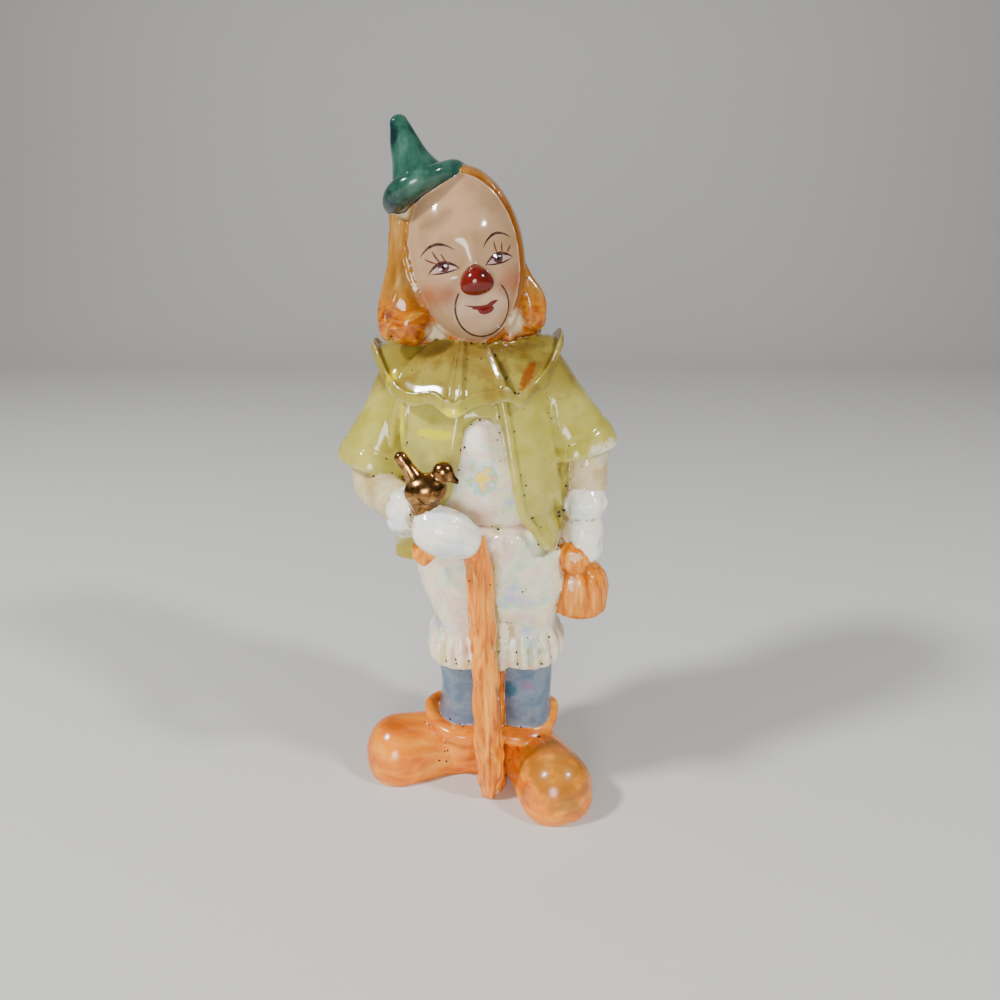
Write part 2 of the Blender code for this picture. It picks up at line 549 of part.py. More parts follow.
def forms():
    """Every closed form of the figurine."""
    made = [shoe(ANKLE_LEFT, TOE_LEFT), shoe(ANKLE_RIGHT, TOE_RIGHT), heels()]
    made += [collar((-13.4, 0.5), 10.6), collar((7.2, -1.0), 10.2)]
    made += [leg(ANKLE_LEFT, 10.4), leg(ANKLE_RIGHT, 10.8)]
    made += [trouser_leg(-12.9, -1.5), trouser_leg(9.8, -1.5), crotch()]
    made += [body(), coat(), lapel(), beading(), ruff()]
    made += [head(), nose(), hair(), hair_crown(), lock_left(), lock_left_strand(), lock_right()]
    made += [hat_cone(), hat_brim(), sleeve_left(), sleeve_right(), arm_left(), cuff_left()]
    made += mitten_left() + arm_right() + bundle() + cane() + bird()
    return made


def object_of(name, mesh):
    """An object of a mesh, in the scene."""
    made = bpy.data.objects.new(name, mesh)
    bpy.context.collection.objects.link(made)
    return made


def settled(made):
    """The mesh of an object with its modifiers worked out; the object is removed."""
    mesh = bpy.data.meshes.new_from_object(made.evaluated_get(bpy.context.evaluated_depsgraph_get()))
    bpy.data.objects.remove(made, do_unlink=True)
    return mesh


def cut_flat(mesh):
    """The part of a closed mesh above the ground plane, closed with a flat underside."""
    cut = bmesh.new()
    cut.from_mesh(mesh)
    everything = cut.verts[:] + cut.edges[:] + cut.faces[:]
    bmesh.ops.bisect_plane(cut, geom=everything, dist=1e-7, plane_co=(0, 0, 0), plane_no=(0, 0, -1), clear_outer=True)
    rim = [edge for edge in cut.edges if edge.is_boundary]
    bmesh.ops.holes_fill(cut, edges=rim, sides=0)
    bmesh.ops.triangulate(cut, faces=cut.faces[:])
    cut.to_mesh(mesh)
    cut.free()


def largest_body(mesh):
    """Keeps only the largest joined body of a mesh."""
    work = bmesh.new()
    work.from_mesh(mesh)
    waiting = set(work.faces)
    bodies = []
    while waiting:
        body = {waiting.pop()}
        border = list(body)
        while border:
            for edge in border.pop().edges:
                fresh = [face for face in edge.link_faces if face in waiting]
                waiting.difference_update(fresh)
                body.update(fresh)
                border += fresh
        bodies.append(body)
    bodies.sort(key=len)
    loose = {vertex for body in bodies[:-1] for face in body for vertex in face.verts}
    bmesh.ops.delete(work, geom=list(loose), context="VERTS")
    bmesh.ops.recalc_face_normals(work, faces=work.faces[:])
    work.to_mesh(mesh)
    work.free()


def fuse(name, made):
    """All forms fused by a voxel skin, softened, cut flat at the ground and thinned."""
    points = []
    faces = []
    count = 0
    for form_points, form_faces in made:
        points.append(form_points)
        faces += [tuple(count + corner for corner in face) for face in form_faces]
        count += len(form_points)
    mesh = bpy.data.meshes.new("forms")
    mesh.from_pydata((np.vstack(points) * UNIT).tolist(), [], faces)
    figure = object_of("fused", mesh)
    melt = figure.modifiers.new("melt", "REMESH")
    melt.mode = "VOXEL"
    melt.voxel_size = HEIGHT / CELLS_IN_HEIGHT
    soften = figure.modifiers.new("soften", "SMOOTH")
    soften.factor = 0.5
    soften.iterations = SMOOTHING_STEPS
    mesh = settled(figure)
    cut_flat(mesh)
    figure = object_of("thinned", mesh)
    thin = figure.modifiers.new("thin", "DECIMATE")
    thin.ratio = TRIANGLES / len(mesh.polygons)
    mesh = settled(figure)
    largest_body(mesh)
    mesh.shade_smooth()
    mesh.name = name
    return object_of(name, mesh)


for old in list(bpy.data.objects):
    bpy.data.objects.remove(old, do_unlink=True)

clown = fuse("clown_figurine", forms())
glaze = bpy.data.materials.new("glazed_porcelain")
glaze.use_nodes = True
shader = glaze.node_tree.nodes["Principled BSDF"]
shader.inputs["Base Color"].default_value = (0.80, 0.76, 0.62, 1.0)
shader.inputs["Roughness"].default_value = 0.12
shader.inputs["IOR"].default_value = 1.5
clown.data.materials.clear()
clown.data.materials.append(glaze)
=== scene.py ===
"""Glazed porcelain clown figurine, dressed: one slip-cast, hand-painted and lustre-glazed skin.

Front is -Y, +Z is up and the ground is z = 0. The forms are drawn in millimetres. Each section adds the forms
of one area of the casting; the last ones fuse them into one skin, paint and glaze it, and light it.
"""
import math

import bmesh
import bpy
import numpy as np
from mathutils.bvhtree import BVHTree
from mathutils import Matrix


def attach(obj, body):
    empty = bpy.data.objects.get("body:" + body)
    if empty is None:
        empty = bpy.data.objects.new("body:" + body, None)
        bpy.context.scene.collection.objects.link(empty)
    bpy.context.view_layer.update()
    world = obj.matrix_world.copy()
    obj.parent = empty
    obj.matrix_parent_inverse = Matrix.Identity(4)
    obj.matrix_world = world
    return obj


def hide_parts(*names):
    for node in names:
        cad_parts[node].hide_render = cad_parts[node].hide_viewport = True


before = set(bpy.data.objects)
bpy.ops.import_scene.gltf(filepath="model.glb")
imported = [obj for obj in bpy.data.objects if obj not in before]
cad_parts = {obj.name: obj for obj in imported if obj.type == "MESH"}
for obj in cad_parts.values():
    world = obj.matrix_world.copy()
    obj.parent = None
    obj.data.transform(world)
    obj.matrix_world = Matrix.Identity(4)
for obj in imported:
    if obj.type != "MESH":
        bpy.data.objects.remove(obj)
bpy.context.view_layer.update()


# Shoes: big round toes, a narrower waist and a rounded heel on a flat sole. They are moulded with the rest in
# hollow porcelain, so both heels run together into one ground behind the cane.
MILLIMETRE = 0.001
TOE_LEFT = (-39.6, -6.4)
TOE_RIGHT = (20.6, -27.6)
ANKLE_LEFT = (-12.4, 0.5)
ANKLE_RIGHT = (8.8, -0.5)
areas = {}


def add(area, *forms):
    """Puts closed forms into a colour area of the casting."""
    areas.setdefault(area, []).extend(forms)


def between(keys, rows, samples):
    """Rows at the samples, on a smooth cubic through the rows given at the keys."""
    keys = np.asarray(keys, float)
    rows = np.asarray(rows, float)
    slopes = np.gradient(rows, keys, axis=0)
    lower = np.clip(np.searchsorted(keys, samples, side="right") - 1, 0, len(keys) - 2)
    span = (keys[lower + 1] - keys[lower])[:, None]
    t = (samples - keys[lower])[:, None] / span
    start = rows[lower] * (2 * t ** 3 - 3 * t ** 2 + 1) + slopes[lower] * span * (t ** 3 - 2 * t ** 2 + t)
    end = rows[lower + 1] * (3 * t ** 2 - 2 * t ** 3) + slopes[lower + 1] * span * (t ** 3 - t ** 2)
    return start + end


def skin(grid, ring=False):
    """Points and faces over a grid of rings: quads between them, and a fan at each end or a seam."""
    rings, spokes, _ = grid.shape
    index = np.arange(rings * spokes).reshape(rings, spokes)
    points = grid.reshape(-1, 3)
    lower = index if ring else index[:-1]
    upper = np.roll(index, -1, axis=0) if ring else index[1:]
    quads = np.stack([lower, np.roll(lower, -1, axis=1), np.roll(upper, -1, axis=1), upper], axis=-1)
    faces = quads.reshape(-1, 4).tolist()
    if not ring:
        first = np.full(spokes, rings * spokes)
        faces += np.stack([first, np.roll(index[0], -1), index[0]], axis=-1).tolist()
        faces += np.stack([first + 1, index[-1], np.roll(index[-1], -1)], axis=-1).tolist()
        points = np.vstack([points, grid[0].mean(axis=0), grid[-1].mean(axis=0)])
    return points, faces


def column(rows, rings=80, spokes=120, swell=None):
    """Level oval sections stacked upwards: a superellipse of turn, with its own depth in front and behind.

    Rows give height, centre x, centre y, half width, front depth, back depth and squareness; swell(turn, z)
    pushes the wall out along its own radius.
    """
    rows = np.asarray(rows, float)
    z = np.linspace(rows[0, 0], rows[-1, 0], rings)
    table = between(rows[:, 0], rows[:, 1:], z)[:, :, None]
    turn = np.linspace(0, 2 * math.pi, spokes, endpoint=False)[None, :]
    level = z[:, None] + 0 * turn
    bend = 2.0 / table[:, 5]
    x = table[:, 2] * np.sign(np.cos(turn)) * np.abs(np.cos(turn)) ** bend
    depth = np.where(np.sin(turn) < 0, table[:, 3], table[:, 4])
    y = depth * np.sign(np.sin(turn)) * np.abs(np.sin(turn)) ** bend
    if swell is not None:
        grow = 1 + swell(turn, level) / (np.hypot(x, y) + 1e-9)
        x = x * grow
        y = y * grow
    return skin(np.stack([table[:, 0] + x, table[:, 1] + y, level], axis=-1))


def limb(rows, rings=60, spokes=56, up=(0, 0, 1), start=1.0, end=1.0, mouth=0.0, swell=None):
    """An oval profile carried along a smooth path, with a rounded cap at each end.

    Rows give x, y, z, half width across and half height. A cap bulges by its share of the half height, and a
    mouth sinks the last end in instead. swell(turn, run) pushes the wall out, with run 0 to 1 on the path.
    """
    rows = np.asarray(rows, float)
    gaps = np.linalg.norm(np.diff(rows[:, :3], axis=0), axis=1)
    keys = np.concatenate([[0], np.cumsum(gaps)])
    run = np.linspace(0, keys[-1], rings)
    table = between(keys, rows, run)
    path = table[:, :3]
    half = table[:, 3:5]
    ahead = np.gradient(path, run, axis=0)
    ahead /= np.linalg.norm(ahead, axis=1)[:, None]
    side = np.cross(ahead, np.asarray(up, float))
    side /= np.linalg.norm(side, axis=1)[:, None]
    rise = np.cross(side, ahead)
    out = np.sin(np.radians(np.linspace(84, 8, 9)))[:, None]
    narrow = np.sqrt(1 - out ** 2)
    before = path[0] - ahead[0] * half[0].min() * start * out
    if mouth > 0:
        close = np.array([0.96, 0.90, 0.85, 0.82, 0.4])[:, None]
        after = path[-1] + ahead[-1] * np.array([0.35, 0.3, -0.2, -mouth, -mouth])[:, None]
    else:
        close = narrow[::-1]
        after = path[-1] + ahead[-1] * half[-1].min() * end * out[::-1]
    many = (len(out), rings, len(close))
    along = np.concatenate([np.zeros(many[0]), run / keys[-1], np.ones(many[2])])[:, None]
    pick = np.repeat([0, rings - 1], [many[0], many[2]])
    side, rise = (np.vstack([v[pick[:many[0]]], v, v[pick[many[0]:]]])[:, None] for v in (side, rise))
    path = np.vstack([before, path, after])[:, None]
    half = np.vstack([half[0] * narrow, half, half[-1] * close])[:, None]
    turn = np.linspace(0, 2 * math.pi, spokes, endpoint=False)[None, :]
    spread = side * half[..., :1] * np.cos(turn)[..., None] + rise * half[..., 1:] * np.sin(turn)[..., None]
    if swell is not None:
        reach = np.linalg.norm(spread, axis=-1)
        spread = spread * (1 + swell(turn, along) * np.clip(reach / 3, 0, 1) / (reach + 1e-9))[..., None]
    return skin(path + spread)


def shoe(ankle, toe):
    """One shoe from heel to toe: an oval carried from heel to toe, squarer below where it meets the sole."""
    ankle = np.array(ankle)
    toe = np.array(toe)
    heel = ankle - (toe - ankle) / np.linalg.norm(toe - ankle) * 5.0
    rows = [(*spot, 8.0, half, tall) for spot, half, tall in (
        (heel, 10.2, 13.0), (ankle, 10.8, 15.5), (ankle * 0.55 + toe * 0.45, 10.6, 13.4),
        (ankle * 0.2 + toe * 0.8, 12.4, 13.6), (toe, 12.9, 13.8))]

    def sole(turn, run):
        below = np.clip(-np.sin(turn), 0, 1)
        return 3.0 * below * np.abs(np.cos(turn)) + 0.35 * np.exp(-((np.sin(turn) + 0.34) / 0.06) ** 2)

    return limb(rows, 70, 96, start=0.75, end=0.93, swell=sole)


def shoe_collar(centre, radius):
    """The flared cuff of the shoe: a thick lip turned out round the ankle, drooping over the instep."""
    turn = np.linspace(0, 2 * math.pi, 120, endpoint=False)[None, :]
    loop = np.array(((-0.5, 4.0), (1.0, 5.0), (1.7, 12.0), (1.8, 19.6), (2.6, 21.0), (4.2, 21.6),
        (5.1, 22.8), (5.3, 24.6), (4.9, 26.0), (3.9, 26.7), (2.4, 26.0), (0.8, 24.2),
        (-1.0, 22.8)))[:, None, :]
    front = np.clip(-np.sin(turn), 0, 1)
    back = np.clip(np.sin(turn), 0, 1)
    outward = np.clip(loop[..., 0] / 4, 0, 1)
    reach = radius + loop[..., 0] - 2.0 * back * outward
    z = loop[..., 1] - (4.6 * front + 4.4 * back) * outward + 0.5 * np.sin(3 * turn + 0.6) * outward
    x = centre[0] + reach * np.cos(turn)
    y = centre[1] + (reach + 2.0 * front) * np.sin(turn)
    return skin(np.stack([x, y, z], axis=-1)[::-1], ring=True)


add("shoe", shoe(ANKLE_LEFT, TOE_LEFT), shoe(ANKLE_RIGHT, TOE_RIGHT))
add("shoe", shoe_collar((-13.4, 0.5), 10.6), shoe_collar((7.2, -1.0), 10.2))
add("shoe", column([(-4, -2.0, 0.5, 13.0, 12.5, 11.5, 2.6), (6, -2.0, 0.5, 13.4, 13.5, 12.0, 2.6),
    (16, -2.0, 0.5, 13.0, 13.5, 11.5, 2.4), (22, -2.0, 0.5, 12.0, 12.0, 10.5, 2.4)], 40, 80))


# Socks and trousers: plain tubes into trouser legs that are drawn in, then puffed out over a gathered hem.
# The seat, waist crease and shirt front are one modelled body.
BODY = ((66, -1.8, -1, 17.0, 15.0, 14.0, 2.3), (74, -2.2, -1, 23.8, 18.8, 16.5, 2.4),
    (84, -3.0, -1, 25.9, 21.2, 17.5, 2.4), (96, -3.6, -1, 25.8, 22.2, 17.5, 2.4),
    (104, -4.0, -1, 25.0, 22.4, 17.5, 2.4), (108.2, -4.3, -1, 23.6, 19.6, 16.8, 2.4),
    (112.6, -4.8, -1, 24.6, 21.8, 17.2, 2.4), (120, -5.6, -1, 25.0, 22.4, 17.8, 2.4),
    (130, -7.0, -1, 25.2, 22.0, 18.0, 2.4), (142, -8.8, -1, 25.6, 20.4, 17.6, 2.3),
    (152, -10.0, -1, 25.4, 17.4, 15.6, 2.2), (160, -10.6, -1, 19.0, 13.0, 12.6, 2.0),
    (168, -11.0, -1, 9.0, 9.0, 9.0, 2.0))


def crumple(turn, z):
    """Soft folds of a sock."""
    return 0.35 * np.sin(3 * turn + z / 5)


def sock(ankle, radius):
    """A slightly waisted tube from the shoe into the trousers, deeper in front over the instep."""
    x, y = ankle
    rows = [(z, x, y, radius + wide, radius + front, radius + back, 2.5) for z, wide, front, back in (
        (14, 0, 2.6, 0), (26, 0, 2.6, 0), (40, -0.2, 2.6, 0), (60, 0.6, 3, 1))]
    return column(rows, 40, 80, crumple)


def trouser_leg(x, y, phase):
    """A leg drawn in above a puffed hem: the gathers are rounded ribs between narrow pleats."""
    def gathers(turn, z):
        low = np.clip((65 - z) / 6, 0, 1) * np.clip((z - 50.2) / 3, 0, 1)
        bent = 9 * turn + phase + 0.5 * np.sin(4 * turn) + 0.06 * (z - 56)
        ribs = (3.8 * np.abs(np.sin(bent)) ** 0.6 - 2.9) * (1 + 0.35 * np.sin(5 * turn + phase))
        creases = 0.45 * np.sin(5 * turn + 0.35 * z + phase) * np.clip((z - 60) / 5, 0, 1)
        return low * ribs + creases

    rows = [(49.0, x, y, 10.2, 12.0, 11.5, 2.2), (50.5, x, y, 12.4, 15.6, 14.2, 2.2),
        (54.0, x, y, 13.2, 17.4, 15.5, 2.2), (59.0, x, y, 12.7, 17.0, 15.4, 2.2),
        (64.5, x, y, 10.9, 15.4, 14.2, 2.2), (71.0, x, y, 12.4, 16.8, 15.4, 2.2),
        (80.0, x, y, 14.0, 18.6, 16.4, 2.2), (96.0, x, y, 14.0, 19.5, 16.6, 2.2)]
    return column(rows, 100, 220, gathers)


def body():
    """Seat, waist and chest, pleated below the waist crease in front, with soft creases in the seat."""
    def pleats(turn, z):
        front = np.clip(-np.sin(turn), 0, 1) ** 4
        below = np.exp(-((z - 102.5) / 4.0) ** 2)
        crease = (-1.5 * front * np.exp(-((z - 106.6) / 0.9) ** 2)
            + 0.7 * front * np.exp(-((z - 109.4) / 1.3) ** 2))
        folds = 2.6 * front * below * (np.abs(np.sin(turn * 9 + 0.5)) - 0.6)
        return crease + folds + 0.4 * np.sin(turn * 6 + z * 0.22) * (z < 104)

    return column(BODY, 200, 240, pleats)


def body_front(x, z):
    """Depth of the chest in front at a place across and a height."""
    rows = np.asarray(BODY, float)
    table = between(rows[:, 0], rows[:, 1:], np.ravel(z)).reshape(np.shape(z) + (6,))
    share = np.clip(np.abs(x - table[..., 0]) / table[..., 2], 0, 0.995)
    return table[..., 1] - table[..., 3] * (1 - share ** table[..., 5]) ** (1 / table[..., 5])


add("sock", sock(ANKLE_LEFT, 10.4), sock(ANKLE_RIGHT, 10.8))
add("pearl", trouser_leg(-12.9, -1.5, 0.4), trouser_leg(9.8, -1.5, 1.3), body())
add("pearl", limb([(0.4, -12.5, 84, 3.4, 5.0), (0.6, -13.0, 66, 3.6, 5.4), (0.4, -12.4, 51, 3.0, 4.6)],
    40, 48, up=(0, -1, 0)))
add("web", column([(10, -1.4, -1.5, 6.0, 13.0, 7.0, 2), (46, -1.4, -1.5, 6.0, 12.6, 8.0, 2),
    (56, -1.6, -1.5, 6.4, 14.0, 8.0, 2), (64, -1.8, -1.5, 6.4, 14.0, 8.0, 2)], 30, 60))


# Coat: hugs the sides and back and is cut away in front, where a long pointed lapel with a rolled edge hangs
# on one side. Yellow lustre over the white glaze.
LAPEL_LEFT = ((97.6, 16.0), (100.6, 14.2), (106.0, 10.4), (112.0, 6.6), (122.0, 4.4), (134.0, 2.4),
    (150.0, -0.4))
LAPEL_RIGHT = ((97.6, 18.0), (100.6, 19.8), (106.0, 20.8), (112.0, 22.0), (122.0, 22.6), (134.0, 21.0),
    (150.0, 19.0))
YOKE_LEFT = ((139.6, -12.4), (147.0, -17.0), (158.0, -18.0))
YOKE_RIGHT = ((139.6, 1.2), (147.0, 4.0), (158.0, 5.0))


def coat():
    """The body's own wall pushed out between two front edges, with rounded lips and a flared tail."""
    rows = np.asarray(BODY, float)
    across = np.linspace(0, 1, 300)[None, :]
    rise = np.linspace(0, 1, 120)[:, None]
    hem = 85.0 + 1.2 * np.cos(across * 2 * math.pi)
    z = hem + rise * (157.0 - hem)
    first = np.interp(z, [88, 94, 104, 118, 130, 146, 158], [268, 262, 232, 200, 189, 180, 178])
    last = np.interp(z, [86, 104, 112, 120, 158], [442, 455, 480, 500, 528])
    angle = np.radians(-(first + (last - first) * across) + 90)
    table = between(rows[:, 0], rows[:, 1:], z.ravel()).reshape(z.shape + (6,))
    bend = 2.0 / table[..., 5]
    cosine = np.cos(angle)
    sine = np.sin(angle)
    depth = np.where(sine < 0, table[..., 3], table[..., 4])
    edge = np.minimum(across, 1 - across) * 110
    lip = np.sqrt(np.clip(1 - (1 - np.clip(edge / 1.6, 0, 1)) ** 2, 0, 1))
    rolled = 0.5 * np.exp(-((edge - 1.6) / 1.0) ** 2)
    foot = np.sqrt(np.clip(1 - (1 - np.clip((z - hem) / 1.8, 0, 1)) ** 2, 0, 1))
    fold = np.clip((120 - z) / 26, 0, 1)
    flare = fold * (2.2 + 3.0 * np.clip(-cosine, 0, 1) ** 2 + 1.2 * np.sin(angle * 7))
    outer = -1.5 + (3.9 + rolled + flare) * lip * foot

    def around(extra):
        reach_x = (table[..., 2] + extra) * np.sign(cosine) * np.abs(cosine) ** bend
        reach_y = (depth + extra) * np.sign(sine) * np.abs(sine) ** bend
        return np.stack([table[..., 0] + reach_x, table[..., 1] + reach_y, z], axis=-1)

    grid = np.concatenate([around(outer), around(-5.0 + 0 * outer)[:, ::-1]], axis=1)
    return skin(grid[:, ::-1])


def panel(top, bottom, left, right, lift, hang, puff=0.0, arch=0.0):
    """A cloth panel on the chest between two edges, each given as (height, x); its rim is a quarter round.

    The middle swells by the puff, the lower edge rises to an arch and the lower end hangs off the body.
    """
    across = np.linspace(0, 1, 70)[None, :]
    rise = np.linspace(0, 1, 110)[:, None]
    level = bottom + (top - bottom) * rise
    x_left = between([row[0] for row in left], [[row[1]] for row in left], level[:, 0])
    x_right = between([row[0] for row in right], [[row[1]] for row in right], level[:, 0])
    x = x_left + (x_right - x_left) * across
    z = level + arch * (1 - (2 * across - 1) ** 4) * (1 - rise)
    edge = np.minimum(x - x_left, x_right - x)
    lip = np.sqrt(np.clip(1 - (1 - np.clip(edge / 1.7, 0, 1)) ** 2, 0, 1))
    y = body_front(x, z)
    lift = lift + hang * np.clip((112 - z) / 14, 0, 1) + puff * np.sin(math.pi * across)
    outer = y - lift * (0.25 + 0.75 * lip)
    front = np.stack([x, outer, z], axis=-1)
    back = np.stack([x, y + 5.0, z], axis=-1)
    return skin(np.concatenate([front, back[:, ::-1]], axis=1))


def rolled_edge(edge, inset, proud, thick):
    """A round cord laid along an edge of the lapel."""
    rows = [(x + inset, float(body_front(np.array(x + inset), np.array(z))) - proud, z, thick, thick) for z,
        x in edge]
    return limb(rows[::-1], 90, 24, up=(0, -1, 0))


add("lustre", coat(), panel(150, 97.6, LAPEL_LEFT, LAPEL_RIGHT, 2.0, 1.4, puff=2.2))
add("lustre", rolled_edge(LAPEL_LEFT[1:], 1.0, 3.6, 1.5))
add("lustre", panel(157, 139.6, YOKE_LEFT, YOKE_RIGHT, 2.2, 0, arch=4.4))
add("lustre", limb([(19.0, -5.0, 132, 4.0, 6.0), (20.4, -4.4, 118, 4.4, 6.2), (20.4, -4.4, 102, 4.2, 6.2),
    (20.0, -4.0, 92, 3.4, 5.0)], 60, 48, up=(0, -1, 0)))


# Ruff: a pleated disc round the neck. Its edge rows give the direction from the front in degrees, the reach
# as a share, the height of the edge and the rise of the pleat there.
RUFF_CENTRE = (-10.3, -1.5)
RUFF_NECK = (10.0, 166.0)
RUFF_REACH = (30.6, 28.8, 25.6)
RUFF_EDGE = ((-180, 0.97, 157.0, -0.6), (-150, 1.05, 160.0, 0.8), (-120, 0.96, 158.5, -0.8),
    (-90, 1.03, 162.5, 0.8), (-72, 1.01, 161.0, -0.2), (-60, 0.97, 154.5, -0.6), (-48, 1.00, 150.2, 1.1),
    (-36, 0.98, 149.6, -0.4), (-20, 0.96, 150.8, -0.8), (-6, 1.07, 145.4, 1.7), (6, 0.97, 150.0, -0.2),
    (15, 0.96, 151.2, -0.9), (28, 0.98, 151.2, -0.8), (32, 0.98, 150.8, -1.9), (42, 1.01, 151.0, 0.6),
    (52, 1.01, 153.6, 0.8), (62, 0.99, 158.0, -0.6), (76, 1.02, 164.0, 0.6), (92, 1.00, 166.2, 0.3),
    (115, 0.96, 162.0, -0.8), (148, 1.05, 160.0, 0.8), (180, 0.97, 157.0, -0.6))
RUFF_RIDGES = ((-50, 1.9, 2.6), (-9.2, 2.2, 2.0), (-3.2, 2.2, 2.0), (25.5, 1.9, 2.4), (31.5, -2.0, 2.6),
    (-95, 0.6, 2.0), (72, 0.7, 1.8), (110, 0.7, 2.0), (150, 0.8, 2.0), (-140, 0.7, 2.0))


def ruff():
    """A disc from neck to edge that runs on a cubic between the edge rows, with beads down the pleats.

    The rim carries a rolled lip with a groove inside it.
    """
    degrees = np.linspace(-180, 180, 540, endpoint=False)
    table = between([row[0] for row in RUFF_EDGE], [row[1:] for row in RUFF_EDGE], degrees)[:, :, None]
    turn = np.radians(degrees)[:, None]
    top = np.linspace(0.96, 0.0, 40)
    loop = np.vstack([[(0.0, -3.0), (0.45, -3.0), (0.8, -2.8), (0.95, -2.4), (1.0, -1.4), (0.995, -0.6)],
        np.stack([top, 0 * top], axis=-1)])
    share = loop[None, :, 0]
    inner, neck = RUFF_NECK
    wide, front, back = RUFF_REACH
    depth = np.where(np.cos(turn) > 0, front, back)
    across = inner + (wide * table[:, 0] - inner) * share
    along = inner + (depth * table[:, 0] - inner) * share
    bead = sum(tall * np.exp(-((degrees - at) / width) ** 2) for at, tall, width in RUFF_RIDGES)[:, None]
    lip = 2.2 * np.exp(-((share - 0.955) / 0.045) ** 2) - 0.9 * np.exp(-((share - 0.86) / 0.05) ** 2)
    above = (loop[None, :, 1] > -0.7)
    z = neck + (table[:, 1] - neck) * share ** 1.25 + loop[None, :, 1] + table[:, 2] * (0.2 + 0.8 * share)
    z = z + above * (lip + bead * np.clip(share / 0.3, 0, 1) * np.clip((0.97 - share) / 0.1, 0, 1))
    x = RUFF_CENTRE[0] + across * np.sin(turn)
    y = RUFF_CENTRE[1] - along * np.cos(turn)
    return skin(np.stack([x, y, z], axis=-1), ring=True)


add("lustre", ruff())


# Head: an egg leaning to -X and turned a little to +X, with a modelled face and a round red nose set on it.
HEAD = (-11.0, -6.0, 190.8)
HEAD_LEAN = 9.8
HEAD_TURN = 8.0
HEAD_HALF = (17.3, 17.6, 27.4)


def posed(grid, centre, lean=HEAD_LEAN, turned=HEAD_TURN):
    """Local points leant about Y (top towards -X), turned about Z and moved."""
    tip = math.radians(lean)
    yaw = math.radians(turned)
    x = grid[..., 0] * math.cos(tip) - grid[..., 2] * math.sin(tip)
    z = grid[..., 0] * math.sin(tip) + grid[..., 2] * math.cos(tip)
    y = grid[..., 1]
    placed = [x * math.cos(yaw) - y * math.sin(yaw), x * math.sin(yaw) + y * math.cos(yaw), z]
    return np.stack(placed, axis=-1) + np.asarray(centre, float)


def ball(centre, radii, lean=HEAD_LEAN, turned=HEAD_TURN, relief=None, rings=80, spokes=120):
    """A round body from its half sizes; relief(grid, unit) reshapes it in its own axes before the pose."""
    fall = np.linspace(0.02, math.pi - 0.02, rings)[:, None]
    turn = np.linspace(0, 2 * math.pi, spokes, endpoint=False)[None, :]
    unit = np.stack([np.sin(fall) * np.cos(turn), np.sin(fall) * np.sin(turn), np.cos(fall) + 0 * turn],
        axis=-1)
    grid = unit * np.asarray(radii, float)
    if relief is not None:
        grid = relief(grid, unit)
    return skin(posed(grid[::-1], centre, lean, turned))


def hill(x, z, at_x, at_z, wide, tall):
    """A soft hill of height one."""
    return np.exp(-((x - at_x) / wide) ** 2 - ((z - at_z) / tall) ** 2)


def face_relief(grid, unit):
    """Cheeks, brow, eyes, muzzle and chin raised on the front of the egg as soft hills."""
    x, y, z = grid[..., 0], grid[..., 1], grid[..., 2]
    z = np.where(z > 0, z * 0.90, z)
    front = np.clip(-unit[..., 1] * 1.6, 0, 1)
    lift = 1.5 * hill(x, z, 1.2, -15.5, 8.0, 8.5) + 1.3 * hill(x, z, 9.5, -6.5, 5, 4)
    lift = lift + 1.3 * hill(x, z, -9.5, -6.5, 5, 4) + 1.4 * hill(x, z, 0.4, -2, 2.6, 6)
    lift = lift + 0.8 * hill(x, z, 0, 6.5, 12, 4) + 0.8 * hill(x, z, 1, -23, 6, 3.5)
    for eye in (-7.9, 8.4):
        lift = lift - 1.1 * hill(x, z, eye, -0.8, 4.4, 3.0) + 0.9 * hill(x, z, eye, -1.7, 2.6, 1.4)
        lift = lift + 0.35 * hill(x, z, eye, -4.6, 3.6, 0.9)
    lift = lift - 0.5 * hill(x, z, 1.2, -14.4, 3.6, 0.6) + 0.5 * hill(x, z, 1.5, -15.9, 2.2, 1.0)
    lift = lift - 0.6 * hill(x, z, -6.4, -9.6, 2.0, 3.0) - 0.6 * hill(x, z, 8.2, -9.4, 2.0, 3.0)
    return np.stack([x, y - lift * front, z], axis=-1)


def nose_relief(grid, unit):
    """Narrower above, as a blunt rounded triangle."""
    narrow = 1 - 0.28 * unit[..., 2:]
    return grid * np.concatenate([narrow, 0 * narrow + 1, 0 * narrow + 1], axis=-1)


add("skin", ball(HEAD, HEAD_HALF, relief=face_relief, rings=200, spokes=240))
add("nose", ball(posed(np.array([0.5, -19.6, -6.4]), HEAD), (4.8, 4.3, 4.2), relief=nose_relief))


# Hair: a dome behind the face that widens to its ends on the ruff, with a long lock on each side. The locks
# are modelled thick, the one below the hat curling under into a round end.
def hair_back():
    """A column whose wall is grooved into locks that twist a little on the way down."""
    def locks(turn, z):
        fade = np.clip((210 - z) / 16, 0, 1)
        return fade * (0.35 * np.sin(turn * 11 + 0.12 * z) + 0.12 * np.sin(turn * 27 - 0.2 * z))

    rows = [(161, -11.4, 4, 23.4, 13, 17, 2.5), (165, -11.6, 4, 24.8, 13.5, 18.5, 2.5),
        (171, -11.8, 4, 25.2, 13.5, 20, 2.4), (177, -12.0, 4, 24.4, 13, 21, 2.3),
        (184, -12.6, 4, 21.4, 12, 21.5, 2.2), (190, -13.8, 4, 19.0, 11.5, 21.5, 2.1),
        (200, -15.2, 4, 17.4, 12, 20.0, 2), (206, -15.8, 4, 15.0, 12, 17, 2),
        (211, -16.2, 3, 11.0, 9, 11, 2), (214, -16.6, 2, 3.0, 3, 3, 2)]
    return column(rows, 160, 240, locks)


